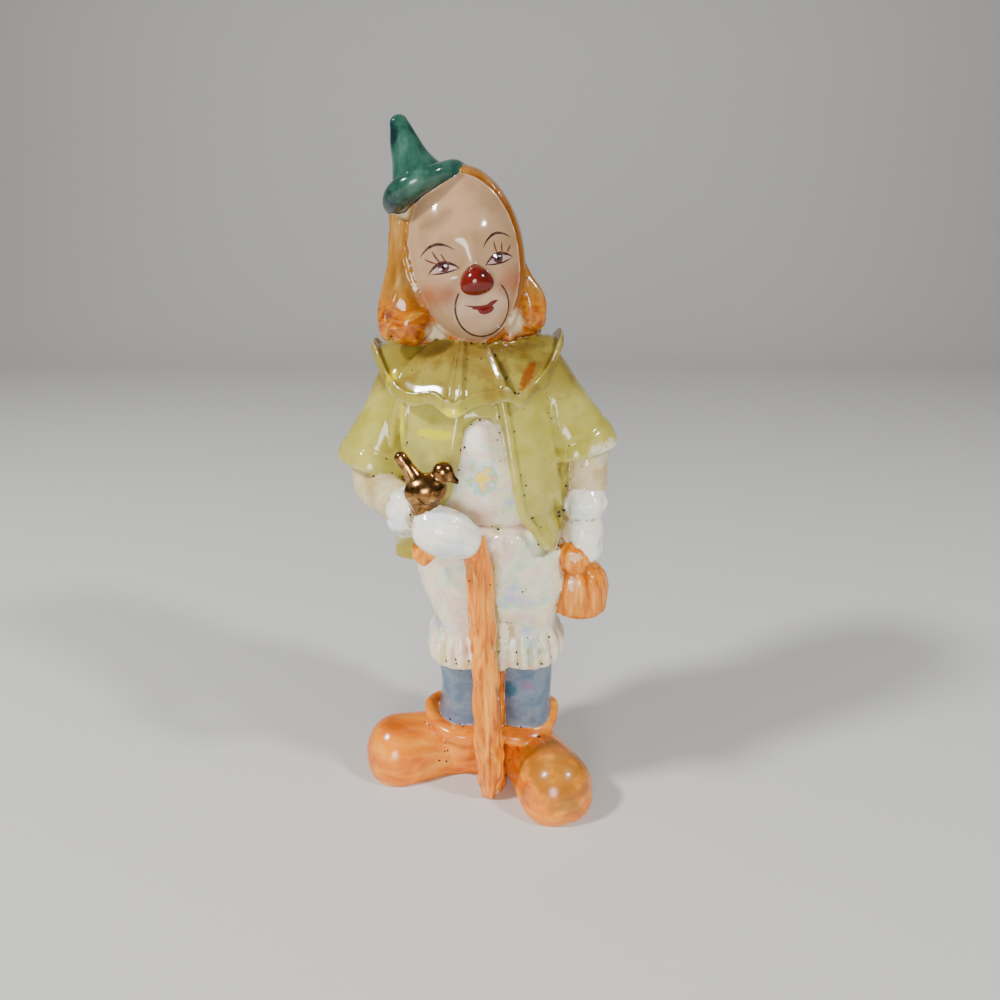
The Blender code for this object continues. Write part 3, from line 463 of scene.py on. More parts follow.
def hair_edge(grid, unit):
    """The head's own egg a little larger behind the hairline and sunk below the face in front of it."""
    y = unit[..., 1] * HEAD_HALF[1]
    hairline = -6.7 - 0.09 * grid[..., 0]
    behind = np.clip((y - hairline) / 0.9 + 0.5, 0, 1)
    egg = face_relief(unit * np.array(HEAD_HALF), unit)
    fuller = 0.135 + 0.035 * np.clip(unit[..., 0] * 2, 0, 1)
    return egg * (0.90 + fuller * behind * behind * (3 - 2 * behind))[..., None]


def waves(count, deep, twist):
    """Hand-modelled grooves or waves along a limb, as a swell."""
    return lambda turn, run: deep * np.sin(count * turn + twist * run)


def curl_relief(grid, unit):
    """Curved grooves that sweep round the rolled end of the lock."""
    sweep = np.arctan2(grid[..., 2], grid[..., 0])
    out = np.hypot(grid[..., 0], grid[..., 2])
    return grid * (1 + 0.045 * np.sin(7 * sweep + 0.62 * out))[..., None]


add("hair", hair_back(), ball(HEAD, HEAD_HALF, relief=hair_edge, rings=200, spokes=300))
add("hair", limb([(-30.6, -7, 204, 2.6, 3.6), (-30.0, -9, 194, 3.0, 4.2), (-29.6, -10.4, 184, 3.6, 5.0),
    (-29.4, -11.4, 177, 5.4, 6.0), (-28.8, -11.2, 171.0, 6.0, 5.8)], 90, 72, up=(0, -1, 0), end=0.7,
    swell=waves(6, 0.15, 2.0)))
add("hair", ball((-28.2, -11.4, 171.4), (6.9, 6.6, 7.4), 0, 0, curl_relief))
add("hair", limb([(-28.4, -12.0, 200, 1.0, 1.2), (-28.0, -13.0, 192, 1.2, 1.4),
    (-26.6, -13.6, 185.6, 1.3, 1.5), (-24.8, -13.8, 180.4, 1.4, 1.5), (-22.4, -13.0, 175.6, 1.3, 1.4)], 80,
    24, up=(0, -1, 0)))
add("hair", limb([(-30.4, -11.6, 196, 1.0, 1.2), (-29.8, -13.6, 188, 1.2, 1.5),
    (-30.0, -15.0, 183, 1.2, 1.5), (-31.6, -16.0, 178.8, 1.3, 1.5), (-33.2, -16.0, 175.4, 1.2, 1.4)], 80, 24,
    up=(0, -1, 0)))
add("hair", limb([(-32.2, -8, 197, 1.3, 2.2), (-32.6, -10, 188, 1.5, 2.8), (-34.2, -11.5, 180, 2.0, 3.2),
    (-35.0, -12.4, 174, 2.3, 3.4), (-34.8, -12.4, 168, 2.2, 3.2)], 80, 40, up=(0, -1, 0),
    swell=waves(4, 0.3, 1.0)))
add("hair", limb([(1.4, -3, 202, 1.8, 4.0), (3.8, -4, 193, 2.2, 4.6), (6.8, -5, 184, 3.2, 5.0),
    (10.2, -5.6, 177, 4.4, 5.4), (10.6, -5.6, 171.4, 4.2, 5.2)], 80, 60, up=(0, -1, 0), end=0.8,
    swell=waves(5, 0.35, 2.0)))


# Hat: a small cone with hollow sides and a rolled brim, set at a slant over the side of the head.
HAT = (-22.0, -6.4, 209.6)
HAT_LEAN = 22.5


def hat_cone():
    """A round profile carried up the slanted axis, with faint hand-modelled waves."""
    rows = []
    for height, radius, shift in ((-1.5, 9.0, -0.5), (0, 9.3, -0.6), (4, 8.0, -0.9), (9, 6.0, -0.9),
            (14, 4.3, -0.6), (17.0, 3.2, -0.2), (19.2, 2.6, 0)):
        spot = posed(np.array([shift, 0.0, height]), HAT, HAT_LEAN, 0)
        rows.append((*spot, radius, radius))
    return limb(rows, 90, 96, up=(0, -1, 0), start=0.3, end=0.85, swell=waves(2, 0.22, 9))


def hat_brim():
    """A ring of oval section, thicker on the low side and gently scalloped."""
    turn = np.linspace(0, 2 * math.pi, 200, endpoint=False)[:, None]
    loop = np.linspace(0, 2 * math.pi, 48, endpoint=False)[None, :]
    low = 0.5 - 0.5 * np.cos(turn)
    thick = 3.0 + 1.1 * low
    tall = 2.9 + 0.9 * low + 0.35 * np.sin(3 * turn + 2)
    radius = 10.2 + 0.4 * np.sin(3 * turn + 1) + thick * np.cos(loop)
    level = 0.6 - 0.9 * low + tall * np.sin(loop) - 0.14 * radius * np.sin(turn)
    local = np.stack([radius * np.cos(turn), 1.06 * radius * np.sin(turn), level], axis=-1)
    return skin(posed(local, HAT, HAT_LEAN, 0)[:, ::-1], ring=True)


add("hat", hat_cone(), hat_brim())


# Cape sleeves and arms: each sleeve is a flared tube with a turned hem and a fold down its inner front.
# Bare-glazed arms come out of them with puffed cuffs and mitten hands.
def hem_line(at, deep):
    """A shallow groove round the sleeve above its thick, rounded hem, with soft folds down to it."""
    def hem(turn, run):
        curled = np.clip((run - 0.93) / 0.07, 0, 1)
        soft_folds = 0.45 * np.sin(5 * turn + 1.0) * run ** 2
        groove = deep * np.exp(-((run - at) / 0.025) ** 2)
        return soft_folds - groove - 2.2 * (1 - np.sqrt(1 - curled ** 2))

    return hem


def puckers(count, deep):
    """Small gathers round a puffed ring."""
    return lambda turn, run: (deep * (2 * np.abs(np.sin(count * turn / 2 + 0.5)) - 1.2)
        * np.sin(math.pi * run))


def knuckles(turn, run):
    """Shallow grooves between the fingers on the back of a mitten."""
    return -0.8 * np.exp(-((np.sin(3.5 * turn)) / 0.3) ** 2) * np.clip((run - 0.25) / 0.4, 0, 1)


add("lustre", limb([(-28.6, 0, 158, 7.6, 10.5), (-31.4, -0.5, 152, 8.8, 12.3),
    (-35.2, -1.2, 141, 10.0, 13.2), (-38.8, -2.0, 131, 12.0, 14.4), (-40.8, -2.6, 125.6, 13.6, 15.6),
    (-41.4, -2.8, 122.8, 14.4, 16.4)], 110, 160, up=(0, -1, 0), start=0.6, mouth=2.4,
    swell=hem_line(0.84, 0.7)))
add("lustre", limb([(-31.4, -15.2, 148, 1.1, 1.2), (-32.8, -15.0, 143.5, 1.4, 1.5),
    (-33.6, -14.8, 138.5, 1.4, 1.5), (-34.6, -14.8, 133, 0.9, 1.0)], 50, 24, up=(0, -1, 0)))
add("lustre", limb([(-28.4, -17.4, 147.5, 1.1, 1.2), (-29.4, -17.6, 143.5, 1.5, 1.5),
    (-30.2, -17.4, 138.6, 1.5, 1.5), (-31.0, -15.6, 132.5, 0.9, 1.0)], 50, 24, up=(0, -1, 0)))
add("lustre", limb([(9.2, 0, 160, 7.2, 10.5), (12.8, -0.4, 155, 8.6, 12.2), (18.0, -0.8, 145, 10.2, 13.0),
    (23.0, -1.0, 136, 11.8, 14.2), (26.0, -1.2, 130.6, 13.4, 15.2), (26.6, -1.2, 128.0, 14.4, 16.2)], 110,
    160, up=(0, -1, 0), start=0.6, mouth=2.4, swell=hem_line(0.84, 0.7)))
add("lustre", limb([(17.6, -13.0, 147.5, 0.8, 0.8), (18.5, -13.6, 142.6, 1.0, 1.0),
    (19.4, -13.9, 137.8, 1.0, 1.0), (21.2, -14.4, 132.6, 0.8, 0.8)], 50, 24, up=(0, -1, 0)))
add("arm", limb([(-39.0, -2, 133, 8.8, 9.4), (-42.2, -3, 124, 8.4, 9.2), (-41.4, -8, 118.8, 8.0, 8.0),
    (-36.6, -17, 117.0, 7.0, 6.6), (-30.4, -26, 115.4, 6.2, 6.0)], 90, 80, up=(0, -0.5, 1),
    swell=waves(3, 0.35, 14)))
add("white", limb([(-31.6, -22.0, 114.6, 6.2, 6.6), (-28.6, -25.8, 114.2, 7.8, 8.6),
    (-26.0, -28.6, 113.6, 6.6, 7.2)], 40, 100, start=0.45, end=0.35, swell=puckers(9, 0.45)))
add("white", limb([(-24.6, -31.4, 112.4, 4.4, 5.0), (-22.6, -32.8, 112.0, 6.2, 7.0),
    (-19.8, -33.9, 111.4, 7.0, 7.9), (-16.0, -34.4, 110.2, 6.8, 7.9), (-12.4, -33.8, 108.4, 6.0, 7.1),
    (-10.0, -33.2, 107.2, 4.8, 5.8)], 70, 90, start=0.3, end=0.8, swell=knuckles))
add("arm", limb([(27.6, -1, 134, 8.4, 10), (29.2, -2.8, 124, 8.0, 9.8), (29.2, -4.4, 115.5, 7.0, 8.4)], 60,
    80, up=(0, -1, 0), end=0.3, swell=waves(2, 0.4, 8)))
add("white", limb([(28.6, -5, 114.4, 7.0, 8.4), (28.4, -5.6, 110.4, 8.2, 10.2),
    (28.4, -6.0, 106.6, 7.0, 8.8)], 40, 100, up=(0, -1, 0), start=0.3, end=0.3, swell=puckers(7, 0.6)))
add("white", limb([(28.6, -6.2, 106.0, 6.0, 7.6), (28.4, -7.0, 102.4, 7.2, 8.8),
    (28.6, -8.0, 98.0, 7.2, 8.8), (30.4, -8.8, 93.4, 5.4, 6.8)], 50, 90, up=(0, -1, 0), start=0.4, end=0.8,
    swell=knuckles))


# Cane, bundle and bird: a gnarled walking cane stands before the legs with a web of porcelain behind it, a
# tied cloth bundle hangs from one hand, and a small bird sits on the other wrist.
def bark(turn, run):
    """Knotty grooves that wander round the cane on the way down."""
    wander = 2.2 * np.sin(9 * run) + 1.1 * np.sin(23 * run + 1)
    return 0.55 * np.sin(4 * turn + wander) + 0.4 * np.sin(9 * turn - 2 * wander + 6 * run)


def bag_pleats(turn, z):
    """Cloth drawn up to the knot: pleats that open out towards the round bottom."""
    return 0.45 * (2 * np.abs(np.sin(6 * turn + 0.06 * z)) - 1.2) * np.clip((z - 68) / 10, 0.15, 1)


add("cane", limb([(-8.6, -31.0, 106.0, 3.4, 3.8), (-7.2, -27.6, 97.0, 3.8, 4.6),
    (-6.2, -25.6, 78.0, 4.0, 5.4), (-5.4, -24.4, 55.0, 4.3, 5.6), (-4.4, -23.4, 32.0, 4.8, 5.4),
    (-3.8, -22.6, 16.0, 4.7, 5.0), (-3.8, -22.4, 6.0, 3.8, 3.8), (-3.8, -22.4, 1.0, 2.5, 2.6),
    (-3.8, -22.4, -3.0, 1.8, 2.0)], 260, 72, up=(0, -1, 0), swell=bark))
add("web", limb([(-4.6, -20.6, 98.0, 2.2, 3.4), (-4.0, -20.6, 70.0, 2.8, 5.0), (-2.8, -19.4, 40.0, 2.8, 5.2),
    (-2.2, -18.4, 12.0, 3.0, 4.6), (-1.4, -18.2, -3.0, 3.2, 3.0)], 200, 60, up=(0, -1, 0), swell=bark))
add("cane", limb([(-16.0, -29.5, 106.0, 3.4, 3.4), (-21.4, -28.0, 103.4, 3.4, 3.6),
    (-25.0, -26.6, 99.8, 3.2, 4.0)], 30, 48, swell=waves(5, 0.3, 0)))
add("bundle", limb([(24.6, -13.5, 94.8, 4.8, 3.8), (25.4, -12.6, 92.4, 5.4, 5.2),
    (27.0, -9.4, 89.6, 4.8, 5.2)], 40, 80, up=(0, -1, 0), swell=puckers(9, 0.5)))
add("bundle", column([(67.2, 28.4, -6.5, 4.2, 4.4, 4.2, 2.2), (69.6, 28.4, -6.5, 8.2, 8.2, 7.6, 2.2),
    (75.0, 28.4, -6.5, 9.8, 10.0, 9.2, 2.3), (81.0, 28.3, -6.5, 9.8, 10.0, 9.0, 2.3),
    (85.8, 27.9, -6.8, 8.0, 8.6, 7.6, 2.2), (89.0, 26.8, -7.2, 4.6, 5.4, 5.2, 2)], 70, 140, bag_pleats))
add("bird", ball((-22.4, -34.2, 124.4), (6.8, 5.0, 5.2), 16, 0))
add("bird", limb([(-20.4, -34.2, 126.6, 3.0, 3.4), (-18.0, -34.4, 129.0, 2.2, 2.4)], 30, 48))
add("bird", ball((-16.9, -34.5, 130.3), (3.3, 3.0, 3.2), 0, 0))
add("bird", limb([(-15.6, -34.6, 129.4, 1.9, 1.9), (-13.9, -34.8, 128.0, 1.5, 1.3),
    (-12.9, -34.9, 127.3, 1.0, 0.9)], 30, 40))
add("bird", limb([(-25.0, -34, 126.8, 3.4, 3.0), (-27.4, -33.8, 131.2, 2.2, 2.0),
    (-29.6, -33.7, 134.6, 2.1, 1.8)], 40, 48, up=(0, -1, 0)))
add("bird", limb([(-23.6, -33.4, 121.5, 4.4, 4.4), (-22.8, -32.6, 118.5, 4.2, 4.2)], 20, 48, up=(0, -1, 0)))


# Casting: every form is melted into one skin on a fine voxel grid, softened as glaze rounds the modelling,
# and cut flat where the foot was wiped dry.
VOXEL = 0.5
SOFTENING = 5
TRIANGLES = 190000


def settled(made):
    """The mesh of an object with its modifiers worked out; the object is removed."""
    mesh = bpy.data.meshes.new_from_object(made.evaluated_get(bpy.context.evaluated_depsgraph_get()))
    bpy.data.objects.remove(made, do_unlink=True)
    return mesh


def shown(name, mesh):
    """An object of a mesh, in the scene."""
    made = bpy.data.objects.new(name, mesh)
    bpy.context.collection.objects.link(made)
    return made


def joined(forms):
    """Points in millimetres and faces of several forms as one list."""
    starts = np.cumsum([0] + [len(points) for points, _ in forms])
    faces = [[start + corner for corner in face] for start, (_, each) in zip(starts, forms) for face in each]
    return np.vstack([points for points, _ in forms]), faces


def cut_flat(mesh):
    """The part of a closed mesh above the ground, closed with a flat underside of triangles."""
    cut = bmesh.new()
    cut.from_mesh(mesh)
    everything = cut.verts[:] + cut.edges[:] + cut.faces[:]
    bmesh.ops.bisect_plane(cut, geom=everything, dist=1e-7, plane_co=(0, 0, 0), plane_no=(0, 0, -1),
        clear_outer=True)
    bmesh.ops.holes_fill(cut, edges=[edge for edge in cut.edges if edge.is_boundary], sides=0)
    bmesh.ops.triangulate(cut, faces=cut.faces[:])
    cut.to_mesh(mesh)
    cut.free()


def largest_body(mesh):
    """Keeps only the largest joined body of a mesh."""
    work = bmesh.new()
    work.from_mesh(mesh)
    waiting = set(work.faces)
    bodies = []
    while waiting:
        seed = {waiting.pop()}
        border = list(seed)
        while border:
            for edge in border.pop().edges:
                fresh = [face for face in edge.link_faces if face in waiting]
                waiting.difference_update(fresh)
                seed.update(fresh)
                border += fresh
        bodies.append(seed)
    bodies.sort(key=len)
    loose = {vertex for each in bodies[:-1] for face in each for vertex in face.verts}
    bmesh.ops.delete(work, geom=list(loose), context="VERTS")
    bmesh.ops.recalc_face_normals(work, faces=work.faces[:])
    work.to_mesh(mesh)
    work.free()


def casting():
    """The fused skin: voxel remesh, smoothing, flat cut, then thinning to the triangle budget."""
    points, faces = joined([form for forms in areas.values() for form in forms])
    mesh = bpy.data.meshes.new("forms")
    mesh.from_pydata((points * MILLIMETRE).tolist(), [], faces)
    figure = shown("melting", mesh)
    melt = figure.modifiers.new("melt", "REMESH")
    melt.mode = "VOXEL"
    melt.voxel_size = VOXEL * MILLIMETRE
    soften = figure.modifiers.new("soften", "SMOOTH")
    soften.factor = 0.5
    soften.iterations = SOFTENING
    mesh = settled(figure)
    cut_flat(mesh)
    figure = shown("thinning", mesh)
    thin = figure.modifiers.new("thin", "DECIMATE")
    thin.ratio = min(1.0, TRIANGLES / len(mesh.polygons))
    mesh = settled(figure)
    largest_body(mesh)
    mesh.shade_smooth()
    mesh.name = "glazed_clown_figurine"
    return mesh


cast = casting()
clown = shown("glazed_clown_figurine", cast)


# Paint areas: for each colour area, how far a point lies inside its border, in millimetres, and how deep the
# point sits in a fold. The glaze reads both, so brush edges follow the modelling, and folds darken and ridges
# lighten, partly as pooled and thinned colour and partly as painted shade and painted highlight.
EDGE_REACH = 4.0


def attribute(name, values):
    """Stores one number for each point of the casting."""
    cast.attributes.new(name, "FLOAT", "POINT").data.foreach_set("value", values.astype(np.float32))


def folds(points):
    """Depth in a fold: each point's offset from the mean of its neighbours along its normal, evened out."""
    normals = np.empty(len(points) * 3)
    cast.vertex_normals.foreach_get("vector", normals)
    normals = normals.reshape(-1, 3)
    ends = np.empty(len(cast.edges) * 2, np.int64)
    cast.edges.foreach_get("vertices", ends)
    ends = ends.reshape(-1, 2)
    count = np.bincount(ends.ravel(), minlength=len(points)).astype(float)

    def neighbours(values):
        total = np.zeros_like(values)
        np.add.at(total, ends[:, 0], values[ends[:, 1]])
        np.add.at(total, ends[:, 1], values[ends[:, 0]])
        return total / (count[:, None] if values.ndim > 1 else count)

    wide = points
    for _ in range(6):
        wide = neighbours(wide)
    depth = np.einsum("ij,ij->i", wide - points, normals)
    for _ in range(3):
        depth = 0.5 * depth + 0.5 * neighbours(depth)
    return depth


def paint_areas():
    """Stores the inside distance to each area's border: nearest other area minus the area's own distance."""
    points = np.empty(len(cast.vertices) * 3)
    cast.vertices.foreach_get("co", points)
    points = points.reshape(-1, 3) / MILLIMETRE
    names = list(areas)
    distance = np.empty((len(names), len(points)))
    for row, name in enumerate(names):
        form_points, faces = joined(areas[name])
        tree = BVHTree.FromPolygons(form_points.tolist(), faces)
        distance[row] = [tree.find_nearest(point)[3] for point in points.tolist()]
    for row, name in enumerate(names):
        others = np.delete(distance, row, axis=0).min(axis=0)
        attribute("area_" + name, np.clip(others - distance[row], -EDGE_REACH, EDGE_REACH))
    attribute("fold", folds(points))


paint_areas()


# Glaze: hand-painted colours under a clear glaze and a thin mother-of-pearl lustre, fired to a wet gloss. The
# colour pools in folds and thins over ridges, and kiln specks sit in the hollows; the darker folds are also
# painted shade and the paler ridges painted highlight.
glaze = bpy.data.materials.new("lustre_glazed_porcelain")
glaze.use_nodes = True
tree = glaze.node_tree
shader = tree.nodes["Principled BSDF"]


def colour(code):
    """Linear colour of an sRGB hex value."""
    parts = [int(code[at:at + 2], 16) / 255 for at in (1, 3, 5)]
    return tuple(c / 12.92 if c <= 0.04045 else ((c + 0.055) / 1.055) ** 2.4 for c in parts) + (1.0,)


def node(kind, links=None, owner=None, **settings):
    """Adds one node with its settings; links gives each input a socket or a value."""
    made = (owner or tree).nodes.new(kind)
    for name, value in settings.items():
        setattr(made, name, value)
    for name, value in (links or {}).items():
        if isinstance(value, bpy.types.NodeSocket):
            (owner or tree).links.new(value, made.inputs[name])
        else:
            made.inputs[name].default_value = value
    return made


def spots(ramp, *stops):
    """Sets the stops of a colour ramp from (place, hex colour)."""
    band = ramp.color_ramp.elements
    while len(band) < len(stops):
        band.new(0.5)
    for stop, (at, code) in zip(band, stops):
        stop.position = at
        stop.color = colour(code)
    return ramp.outputs["Color"]


place = node("ShaderNodeTexCoord").outputs["Object"]
mm = node("ShaderNodeMapping", {"Vector": place, "Scale": (1000, 1000, 1000)}).outputs[0]
height = node("ShaderNodeSeparateXYZ", {0: mm}).outputs[2]
fold = node("ShaderNodeAttribute", attribute_name="fold").outputs["Fac"]
NOISE_ROUGHNESS = 0.55
BRUSH_EDGE = 0.12


def cloud(period, detail=3.0, stretch=(1, 1, 1), twist=0.0):
    """Smooth noise from 0 to 1 whose blotches measure about the period in millimetres."""
    moved = node("ShaderNodeMapping", {"Vector": mm, "Scale": stretch}).outputs[0]
    return node("ShaderNodeTexNoise",
        {"Vector": moved, "Scale": 1 / period, "Detail": detail, "Roughness": NOISE_ROUGHNESS,
        "Distortion": twist}).outputs["Fac"]


def ranged(value, low, high, to_low=0.0, to_high=1.0):
    """A value eased from one range to another."""
    return node("ShaderNodeMapRange",
        {"Value": value, "From Min": low, "From Max": high, "To Min": to_low, "To Max": to_high},
        interpolation_type="SMOOTHSTEP").outputs["Result"]


def sum_of(operation, first, second, third=0.0):
    """Arithmetic on two or three values."""
    return node("ShaderNodeMath", {0: first, 1: second, 2: third}, operation=operation).outputs[0]


def over(below, above, amount):
    """Paints one colour over another by an amount."""
    return node("ShaderNodeMix", {0: amount, 6: below, 7: above}, data_type="RGBA").outputs[2]


wobble = ranged(cloud(3.0), 0.25, 0.75, -0.35, 0.35)


def inside(area, uneven=1.0):
    """How far the brush covered an area, with a hand-painted wandering border."""
    away = node("ShaderNodeAttribute", attribute_name="area_" + area).outputs["Fac"]
    return ranged(sum_of("MULTIPLY_ADD", wobble, uneven, away), -BRUSH_EDGE, BRUSH_EDGE)


def toned(value, *stops):
    """A value turned into colour by a ramp."""
    return spots(node("ShaderNodeValToRGB", {0: value}), *stops)


FAR = 1.6


def distance_share(base, spot, reach, turned=(0, 0, 0)):
    """Distance from a place as a share of its reach along each axis, level at FAR beyond it."""
    local = node("ShaderNodeMapping",
        {"Vector": base, "Location": spot, "Rotation": turned, "Scale": [FAR * length for length in reach]},
        vector_type="TEXTURE")
    near = node("ShaderNodeTexGradient", {"Vector": local.outputs[0]},
        gradient_type="SPHERICAL").outputs["Fac"]
    return sum_of("MULTIPLY_ADD", near, -FAR, FAR)


def blot(spot, reach, ragged=0.5, grain=2.0, turned=(0, 0, 0)):
    """The distance share made ragged by noise, below one inside the blot."""
    away = sum_of("SUBTRACT", distance_share(mm, spot, reach, turned), ragged)
    return sum_of("MULTIPLY_ADD", cloud(grain), 2 * ragged, away)


def dab(below, code, amount, *places, ragged=0.5, soft=0.6, grain=2.0):
    """Uneven dabs of one colour, each given by its place and its reach."""
    for spot, reach in places:
        cover = ranged(blot(spot, reach, ragged, grain), 1.0, 1.0 - soft, 0, amount)
        below = over(below, colour(code), cover)
    return below


# Mother-of-pearl white of the shirt and trousers: pastel clouds, tan in the folds and in dabs beside the
# cane and below the hand, partly pooled glaze and partly painted shade, and one patch of rainbow on the
# shirt front, a painted reflection of a lamp in the lustre.
pearl = toned(cloud(12.0, 2.0), (0.28, "#e8d894"), (0.38, "#ece6ca"), (0.47, "#e6c6bc"), (0.54, "#e8e6d2"),
    (0.61, "#bcd8bc"), (0.69, "#b0b4dc"))
pearl = over(pearl, colour("#f0e4b6"), ranged(cloud(5.0), 0.40, 0.62, 0.1, 0.6))
pearl = over(pearl, colour("#a8843e"), ranged(fold, 0.06, 0.28, 0, 0.6))
pearl = dab(pearl, "#bfa25e", 0.55, ((-1.4, -22.0, 92.0), (2.6, 5, 15)),
    ((-16.0, -25.0, 97.0), (8.0, 6, 4.0)), ((-25.0, -14.0, 66.0), (5, 8, 9)), ragged=0.8, grain=4.0)
# The rainbow patch is a painted reflection of a lamp in the lustre, fixed on the shirt front.
painted_rainbow_highlight = blot((-5.4, -23.3, 124.6), (5.4, 6.0, 6.4), 0.9, 2.4)
painted_rainbow_highlight_colours = toned(painted_rainbow_highlight, (0.20, "#f0ce00"), (0.42, "#f0e04c"), (0.54, "#ec9c96"), (0.68, "#8cd88c"),
    (0.84, "#74c8dc"), (1.0, "#e6e8ee"))
pearl = over(pearl, painted_rainbow_highlight_colours, ranged(painted_rainbow_highlight, 1.1, 0.6, 0, 0.95))
paint = pearl

# Bare arms in a warmer white, cuffs and mittens in a cold one, brown in the creases and in dabs where the
# hands meet cuffs and body, partly grime and partly painted shade.
arm = over(pearl, colour("#c0a468"), ranged(cloud(8.0), 0.35, 0.65, 0.5, 0.95))
paint = over(paint, arm, inside("arm"))
white = over(colour("#fbf6e2"), colour("#dfe4e4"), ranged(cloud(6.0), 0.44, 0.62, 0, 0.9))
white = over(white, colour("#8e6834"), ranged(fold, 0.05, 0.24, 0, 0.85))
white = dab(white, "#8e6a3c", 0.5, ((-27.4, -36.0, 113.6), (2.2, 6, 3.4)),
    ((-14.0, -32.0, 117.4), (6.0, 5, 2.2)), ((22.6, -12, 104), (2.4, 6, 9)),
    ((-28.4, -30.0, 109.0), (5.0, 7, 3.4)), ragged=0.9)
paint = over(paint, white, inside("white"))

# Yellow lustre of the coat, sleeves and ruff: greener and darker in the folds, as thicker glaze and as
# painted shade, brown round the neck, whiter on the ridges, where it ran off and as painted highlight, with a
# rust-brown smear and bright runs of undiluted yellow.
yellow = toned(cloud(15.0, 2.0), (0.30, "#afa339"), (0.44, "#b4a944"), (0.56, "#bdb358"), (0.70, "#b3a84a"))
yellow = over(yellow, colour("#82712a"), ranged(height, 145, 154, 0, 0.75))
neck = blot((-10.3, -5.0, 167.0), (22, 22, 18), 0.5, 5.0)
yellow = over(yellow, colour("#634618"), ranged(neck, 1.05, 0.5, 0, 0.75))
stained = sum_of("MULTIPLY", ranged(cloud(6.0, 4.0), 0.44, 0.64), ranged(height, 146, 153, 0.15, 0.7))
yellow = over(yellow, colour("#7a5f22"), stained)
yellow = over(yellow, colour("#8a7a22"), ranged(fold, 0.06, 0.32, 0, 0.75))
yellow = over(yellow, colour("#e2dca8"), ranged(fold, -0.22, -0.50, 0, 0.7))
# Bright dabs of undiluted yellow; the narrow one down the fold of the left sleeve is a painted glint.
yellow = dab(yellow, "#e0d400", 0.9, ((-20.0, -22.5, 138.6), (9.0, 5, 2.2)),
    ((-33.0, -15.0, 153.0), (3.0, 6, 5.0)), ((-14.0, -31.0, 147.4), (4.6, 3.0, 2.0)),
    ((-30.6, -17, 140), (1.6, 3, 7)), ragged=0.35)
yellow = dab(yellow, "#f0ead0", 0.7, ((33.0, -10, 131), (9, 9, 4)), ((-2.0, -22, 138), (4, 4, 6)),
    ragged=0.6)
smear = blot((8.6, -18.0, 156.0), (7.0, 2.0, 2.4), 0.5, 1.6, turned=(0, 0.63, -2.03))
yellow = over(yellow, colour("#7e4008"), ranged(smear, 1.05, 0.6, 0, 0.95))
yellow = dab(yellow, "#5e4a22", 0.6, ((1.0, -18.0, 156.5), (3.4, 8.0, 5.0)),
    ((8.0, -9.0, 164.0), (7.0, 3.0, 3.0)), ((22.4, -12.0, 112.0), (2.6, 5.0, 18.0)), ragged=0.9, grain=3.0)
paint = over(paint, yellow, inside("lustre", uneven=0.5))

# Grey-blue socks, brushed unevenly, with a teal and a mauve dab.
sock_paint = toned(cloud(6.0, 4.0, twist=0.4), (0.30, "#56687e"), (0.45, "#627489"), (0.58, "#74828f"),
    (0.70, "#666e86"))
sock_paint = dab(sock_paint, "#175a70", 0.9, ((3.4, -13.0, 39.7), (4.2, 5, 4.4)), ragged=0.5)
sock_paint = dab(sock_paint, "#7c6482", 0.7, ((9.8, -13.5, 41.6), (3.4, 4, 2.6)), ragged=0.4)
paint = over(paint, sock_paint, inside("sock", uneven=0.4))

# Orange of the shoes, cane and bundle: brush streaks along the form, reddish and darker in the folds, partly
# where the colour pooled and partly as painted shade.
shoe_paint = toned(cloud(6.0, 4.0, stretch=(0.35, 0.8, 1.3), twist=0.5), (0.28, "#c25800"),
    (0.44, "#e67800"), (0.56, "#f48e0c"), (0.72, "#faac3c"))
# The right shoe is painted a darker brown all over, partly as painted shade.
shoe_paint = dab(shoe_paint, "#94601c", 0.8, ((20.6, -27.0, 14.0), (17, 20, 16)), ragged=0.9, grain=7.0)
shoe_paint = over(shoe_paint, colour("#a04400"), ranged(fold, 0.08, 0.32, 0, 0.8))
shod = inside("shoe")
paint = over(paint, shoe_paint, shod)
streak = cloud(2.0, 4.0, stretch=(1, 1, 0.10), twist=0.35)
cane_paint = toned(streak, (0.30, "#a84c00"), (0.42, "#e07600"), (0.54, "#f69410"), (0.72, "#ffb44a"))
cane_paint = over(cane_paint, colour("#9c4c00"), ranged(fold, 0.06, 0.30, 0, 0.7))
# Web behind the cane: tan above, tan glaze that is also painted shade behind the cane; cane orange below.
web_paint_with_painted_shade = over(colour("#a5853a"), colour("#bb8436"), ranged(streak, 0.42, 0.60))
web_paint_with_painted_shade = over(web_paint_with_painted_shade, cane_paint, ranged(height, 58, 50))
paint = over(paint, web_paint_with_painted_shade, inside("web"))
paint = over(paint, cane_paint, inside("cane"))
rags = cloud(2.2, 3.0, stretch=(1, 1, 0.14), twist=0.3)
bundle_paint = toned(rags, (0.30, "#b85a00"), (0.46, "#de7c00"), (0.60, "#f09828"), (0.76, "#fac888"))
bundle_paint = over(bundle_paint, colour("#a84c00"), ranged(fold, 0.05, 0.30, 0, 0.8))
# Pale dabs on the knot and bag: painted highlights.
bundle_paint = dab(bundle_paint, "#f4dcb4", 0.6, ((25.4, -17.0, 94.4), (3.4, 4, 1.8)),
    ((24.6, -15.5, 83.4), (1.8, 3, 3.6)), ragged=0.9, grain=1.4)
paint = over(paint, bundle_paint, inside("bundle"))

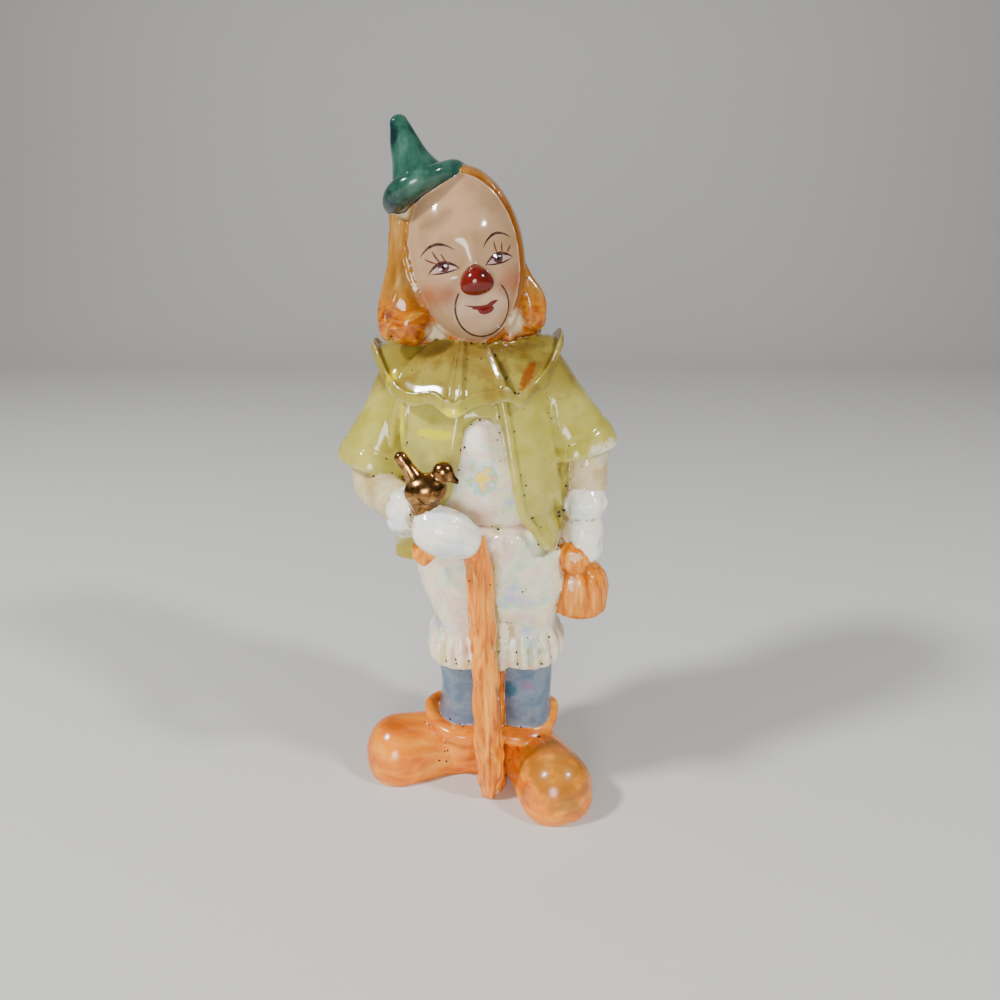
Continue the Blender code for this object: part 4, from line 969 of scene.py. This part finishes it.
# Hair: tan brushed down in long strokes, strong orange in short curved strokes at the ends, a dark line
# beside the face, and bare glaze behind the chin. Ridges are lightened as painted highlight and grooves
# darkened as painted shade.
brushed = cloud(3.4, 3.0, stretch=(1, 1, 0.10), twist=0.3)
hair_paint = toned(brushed, (0.30, "#84500f"), (0.46, "#98621e"), (0.58, "#a2702c"), (0.74, "#b48a4a"))
ends = toned(cloud(2.8, 2.0, stretch=(0.5, 0.5, 1.2), twist=1.2), (0.34, "#8c3e00"), (0.46, "#b05a00"),
    (0.60, "#bd7004"), (0.76, "#cf9838"))
hair_paint = over(hair_paint, ends, ranged(height, 182.5, 173))
hair_paint = over(hair_paint, colour("#d0a060"), ranged(fold, -0.25, -0.55, 0, 0.45))
hair_paint = over(hair_paint, colour("#7c4212"), ranged(fold, 0.10, 0.34, 0, 0.6))
across = node("ShaderNodeSeparateXYZ", {0: mm}).outputs[0]
hair_near = node("ShaderNodeAttribute", attribute_name="area_hair").outputs["Fac"]
parting = sum_of("MULTIPLY", ranged(hair_near, 1.7, 0.5, 0, 0.85), ranged(across, -12, -6))
hair_paint = over(hair_paint, colour("#6e3408"), parting)
hair_paint = dab(hair_paint, "#dccaa2", 0.9, ((-20.0, -11, 168.0), (5.0, 8, 4.6)),
    ((4.6, -9, 171.0), (4.0, 8, 6.0)), ((-28.0, -10, 203.0), (3.0, 6, 3.0)), ragged=0.4)
paint = over(paint, hair_paint, inside("hair", uneven=0.3))

# Hat: sea green laid on wet, nearly black-green in the folds, where it ran together and as painted shade.
# Nose: thick dark red.
hat_paint = toned(cloud(5.0, 5.0, stretch=(1, 1, 0.7), twist=0.2), (0.32, "#0e302c"), (0.45, "#204a3d"),
    (0.57, "#30594b"), (0.74, "#4a7060"))
hat_paint = over(hat_paint, colour("#08262a"), ranged(fold, 0.05, 0.32, 0, 0.85))
hat_paint = dab(hat_paint, "#042226", 0.95, ((-29.0, -12.0, 206.0), (8.0, 10, 6.5)),
    ((-31.0, -8.0, 224.0), (2.2, 5, 4.0)), ragged=0.5, grain=3.0)
paint = over(paint, hat_paint, inside("hat", uneven=0.3))
nose_paint = over(colour("#66120a"), colour("#400906"), ranged(cloud(3.0), 0.45, 0.7))
paint = over(paint, nose_paint, inside("nose", uneven=0.2))


# Face: painted freehand in thin dark lines over a flesh glaze, with blushed cheeks. Places are millimetres
# across and up from the middle of the head; each stroke gives place, slant, half length, bend, half width.
face = node("ShaderNodeMapping",
    {"Vector": place, "Location": [c * MILLIMETRE for c in HEAD],
    "Rotation": (0, -math.radians(HEAD_LEAN), math.radians(HEAD_TURN)), "Scale": (MILLIMETRE,) * 3},
    vector_type="TEXTURE").outputs[0]


def stroke_group():
    """A brush stroke: a bent line whose half width tapers as a half circle, with a soft edge."""
    group = bpy.data.node_groups.new("brush_stroke", "ShaderNodeTree")
    for name, kind in (("Place", "Vector"), ("Along", "Vector"), ("Up", "Vector"), ("Ahead", "Float"),
            ("Above", "Float"), ("Bend", "Float"), ("Width", "Float"), ("Soft", "Float")):
        group.interface.new_socket(name, in_out="INPUT", socket_type="NodeSocket" + kind)
    group.interface.new_socket("Cover", in_out="OUTPUT", socket_type="NodeSocketFloat")
    given = node("NodeGroupInput", owner=group).outputs

    def maths(operation, *values, kind="ShaderNodeMath", **settings):
        return node(kind, dict(enumerate(values)), group, operation=operation, **settings)

    along = maths("DOT_PRODUCT", given["Place"], given["Along"],
        kind="ShaderNodeVectorMath").outputs["Value"]
    along = maths("SUBTRACT", along, given["Ahead"]).outputs[0]
    up = maths("DOT_PRODUCT", given["Place"], given["Up"], kind="ShaderNodeVectorMath").outputs["Value"]
    up = maths("SUBTRACT", up, given["Above"]).outputs[0]
    square = maths("MULTIPLY", along, along).outputs[0]
    away = maths("ABSOLUTE", maths("MULTIPLY_ADD", square, given["Bend"], up).outputs[0]).outputs[0]
    left = maths("SUBTRACT", 1.0, square, use_clamp=True).outputs[0]
    room = maths("MULTIPLY", maths("SQRT", left).outputs[0], given["Width"]).outputs[0]
    room = maths("SUBTRACT", room, away).outputs[0]
    cover = node("ShaderNodeMapRange", {"Value": room, "From Min": 0.0, "From Max": given["Soft"]}, group,
        interpolation_type="SMOOTHSTEP").outputs["Result"]
    node("NodeGroupOutput", {"Cover": cover}, group)
    return group


brush_stroke = stroke_group()


def strokes(rows, soft=0.16):
    """The cover of several strokes, from x, z, slant in degrees, half length, bend and half width."""
    total = None
    for x, z, slant, length, bend, width in rows:
        cosine = math.cos(math.radians(slant))
        sine = math.sin(math.radians(slant))
        cover = node("ShaderNodeGroup",
            {"Place": face, "Along": (cosine / length, 0, sine / length), "Up": (-sine, 0, cosine),
            "Ahead": (x * cosine + z * sine) / length, "Above": z * cosine - x * sine, "Bend": bend,
            "Width": width, "Soft": soft}, node_tree=brush_stroke).outputs[0]
        total = cover if total is None else sum_of("MAXIMUM", total, cover)
    return total


HUGE = 1e6


def painted_ring(x, z, wide, tall, width, top):
    """A thin open oval: points whose scaled distance from its middle is near one, below a level."""
    reach = distance_share(face, (x, 0, z), (wide, HUGE, tall))
    away = sum_of("ABSOLUTE", sum_of("SUBTRACT", reach, 1.0), 0.0)
    room = sum_of("MULTIPLY_ADD", away, -wide, width)
    up = node("ShaderNodeSeparateXYZ", {0: face}).outputs[2]
    return sum_of("MULTIPLY", ranged(room, 0.0, 0.16), ranged(up, top, top - 0.8))


flesh = over(colour("#b08c6a"), colour("#9a7650"), ranged(cloud(9.0, 4.0), 0.42, 0.70, 0, 0.7))
flesh = over(flesh, colour("#c8a68a"), sum_of("MULTIPLY", strokes([(1.2, -16.5, 0, 9, 0, 8)], 3.0), 0.6))
blush = strokes([(-11.5, -9.0, 0, 7.0, 0, 6.0), (12.0, -9.0, 0, 6.0, 0, 6.0)], soft=5.5)
flesh = over(flesh, colour("#a35c38"), sum_of("MULTIPLY", blush, 0.75))
flesh = over(flesh, colour("#6e5334"), sum_of("MULTIPLY", strokes([(-7.2, 11.5, 20, 6, 0, 3.6)], 3.4), 0.5))
flesh = over(flesh, colour("#b8601c"),
    sum_of("MULTIPLY", ranged(height, 168, 165.4, 0, 0.7), ranged(fold, 0.0, 0.15)))
whites = strokes([(-8.0, -1.6, 4, 4.0, 0.6, 1.35), (8.4, -1.9, 4, 4.0, 0.6, 1.35)])
flesh = over(flesh, colour("#b4958a"), whites)
iris = strokes([(-7.8, -1.5, 0, 1.6, 0, 1.4), (8.2, -1.7, 0, 1.5, 0, 1.5)])
flesh = over(flesh, colour("#4e2e32"), iris)
flesh = over(flesh, colour("#12080c"),
    strokes([(-7.8, -1.5, 0, 0.6, 0, 0.6), (8.2, -1.7, 0, 0.65, 0, 0.65)]))
# Small pale dots in the irises: painted glints.
flesh = over(flesh, colour("#e6d4cc"),
    strokes([(-7.2, -1.1, 0, 0.5, 0, 0.5), (-8.8, -1.9, 0, 0.5, 0, 0.4), (8.8, -1.2, 0, 0.4, 0, 0.4)]))
lines = strokes([(-9.0, 4.9, 4, 5.1, 2.7, 0.5), (8.4, 5.0, 8, 4.9, 2.9, 0.47),
    (-8.0, -0.3, 3, 4.7, 2.6, 0.62), (8.4, -0.6, 4, 4.7, 2.3, 0.6), (-7.6, -3.0, 4, 4.4, -0.4, 0.36),
    (8.4, -3.2, 2, 4.6, -0.6, 0.34)])
lines = sum_of("MAXIMUM", lines, painted_ring(1.5, -14.9, 8.2, 8.9, 0.36, -8.9))
flesh = over(flesh, colour("#321a1e"), sum_of("MULTIPLY", lines, ranged(cloud(1.6), 0.3, 0.6, 0.8, 1.0)))
lashes = strokes([(-9.4, 1.4, 117, 2.3, 0.2, 0.34), (-7.4, 1.0, 115, 1.6, 0.1, 0.3),
    (-11.2, 0.5, 150, 1.9, 0.2, 0.32), (7.9, 1.4, 100, 1.9, 0.1, 0.3), (10.0, 0.9, 82, 1.7, 0.1, 0.3),
    (12.2, 0.1, 50, 1.4, -0.1, 0.3)])
flesh = over(flesh, colour("#5e1c14"), lashes)
lips = strokes([(1.3, -14.2, -2, 5.3, -1.1, 0.42), (0.3, -14.5, -14, 2.2, 0.2, 0.75),
    (3.9, -14.0, 22, 2.2, 0.2, 0.75), (2.2, -15.4, 0, 2.5, -0.1, 1.35)])
flesh = over(flesh, colour("#660c08"), lips)
paint = over(paint, flesh, inside("skin", uneven=0.15))


# Bird: burnished copper-gold lustre over a dark glaze, close to metal, its dark brown and gold mottling
# partly painted reflection of dark and bright surroundings. Then the dark kiln specks that sit in the
# hollows, and the wiring of the finish.
bird_paint_with_painted_reflection = toned(cloud(3.6, 3.0, twist=0.8), (0.34, "#4c3018"), (0.48, "#8a6238"), (0.60, "#b88850"),
    (0.74, "#dcba80"))
metal = inside("bird", uneven=0.2)
cells = node("ShaderNodeTexVoronoi", {"Vector": mm, "Scale": 0.5}).outputs["Distance"]
sparse = ranged(cloud(5.0, 3.0), 0.44, 0.60)
hollow = ranged(fold, -0.05, 0.20, 0.42, 1.0)
chance = sum_of("MULTIPLY", sum_of("MULTIPLY", sparse, hollow), ranged(inside("skin"), 1.0, 0.5, 0.4, 1.0))
speck = ranged(sum_of("SUBTRACT", sum_of("MULTIPLY", chance, 0.34), cells), 0.0, 0.07)
paint = over(paint, colour("#120c07"), speck)
paint = over(paint, bird_paint_with_painted_reflection, metal)
tree.links.new(paint, shader.inputs["Base Color"])
tree.links.new(metal, shader.inputs["Metallic"])
gloss = sum_of("MULTIPLY_ADD", metal, 0.08, ranged(cloud(6.0), 0.3, 0.7, 0.09, 0.15))
gloss = sum_of("MULTIPLY_ADD", shod, 0.09, gloss)
gloss = sum_of("MULTIPLY_ADD", speck, 0.4, gloss)
tree.links.new(gloss, shader.inputs["Roughness"])
ripple = node("ShaderNodeBump", {"Height": cloud(2.5, 2.0), "Strength": 0.12, "Distance": 0.0001})
tree.links.new(ripple.outputs[0], shader.inputs["Normal"])
shader.inputs["IOR"].default_value = 1.5
cast.materials.clear()
cast.materials.append(glaze)

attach(clown, "root")
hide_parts("clown_figurine")


# Stage: a pale floor that sweeps up behind, two soft lamps from above and a wide one in front, where the
# photograph's highlights put them, and the camera at the photograph's viewing angle.
CAMERA_SPOT = (0.0, -0.248, 0.199)
CAMERA_PITCH = 20.0
LENS_SHARE = 0.751
MIDDLE = (-0.008, -0.005, 0.12)


def sweep():
    """A floor profile carried across: level, then a quarter circle up, then upright."""
    bend = np.linspace(0, math.pi / 2, 24)
    profile = np.array([(-2.0, 0.0), *((0.9 + 0.5 * math.sin(a), 0.5 - 0.5 * math.cos(a)) for a in bend),
        (1.4, 2.5)])
    across = np.array([-2.5, 2.5])
    grid = np.stack([across[None, :] + 0 * profile[:, :1], profile[:, :1] + 0 * across,
        profile[:, 1:] + 0 * across], -1)
    first = np.arange(len(profile) - 1) * 2
    mesh = bpy.data.meshes.new("studio_floor")
    mesh.from_pydata(grid.reshape(-1, 3).tolist(), [],
        np.stack([first, first + 1, first + 3, first + 2], -1).tolist())
    mesh.shade_smooth()
    return shown("studio_floor", mesh)


floor = sweep()
paper = bpy.data.materials.new("pale_backdrop_paper")
paper.use_nodes = True
paper.node_tree.nodes["Principled BSDF"].inputs["Base Color"].default_value = colour("#cccbc8")
paper.node_tree.nodes["Principled BSDF"].inputs["Roughness"].default_value = 0.8
floor.data.materials.append(paper)


def look(spot):
    """Euler angles that turn a lamp's face from its spot to the middle of the figurine."""
    to = np.array(MIDDLE) - np.array(spot)
    flat = math.hypot(to[0], to[1])
    return (math.atan2(flat, -to[2]), 0.0, math.atan2(to[1], to[0]) - math.pi / 2)


def lamp(name, direction, away, size, power):
    """A round soft lamp that looks at the middle of the figurine."""
    light = bpy.data.lights.new(name, "AREA")
    light.shape = "DISK"
    light.size = size
    light.energy = power
    made = bpy.data.objects.new(name, light)
    bpy.context.collection.objects.link(made)
    spot = np.array(direction) / np.linalg.norm(direction) * away + np.array(MIDDLE)
    made.location = spot
    made.rotation_euler = look(spot)


lamp("left_lamp", (-0.68, -0.25, 0.69), 1.1, 0.14, 13.5)
lamp("right_lamp", (0.66, -0.34, 0.66), 1.2, 0.13, 9.5)
lamp("front_lamp", (-0.14, -0.98, 0.10), 1.0, 0.40, 7.5)
world = bpy.data.worlds.new("studio_air")
world.use_nodes = True
world.node_tree.nodes["Background"].inputs["Color"].default_value = colour("#e2e0dc")
world.node_tree.nodes["Background"].inputs["Strength"].default_value = 0.26
bpy.context.scene.world = world

view = bpy.data.cameras.new("camera")
view.sensor_width = 36.0
view.lens = 36.0 * LENS_SHARE
camera = bpy.data.objects.new("camera", view)
camera.location = CAMERA_SPOT
camera.rotation_euler = (math.radians(90 - CAMERA_PITCH), 0, 0)
bpy.context.collection.objects.link(camera)
bpy.context.scene.camera = camera
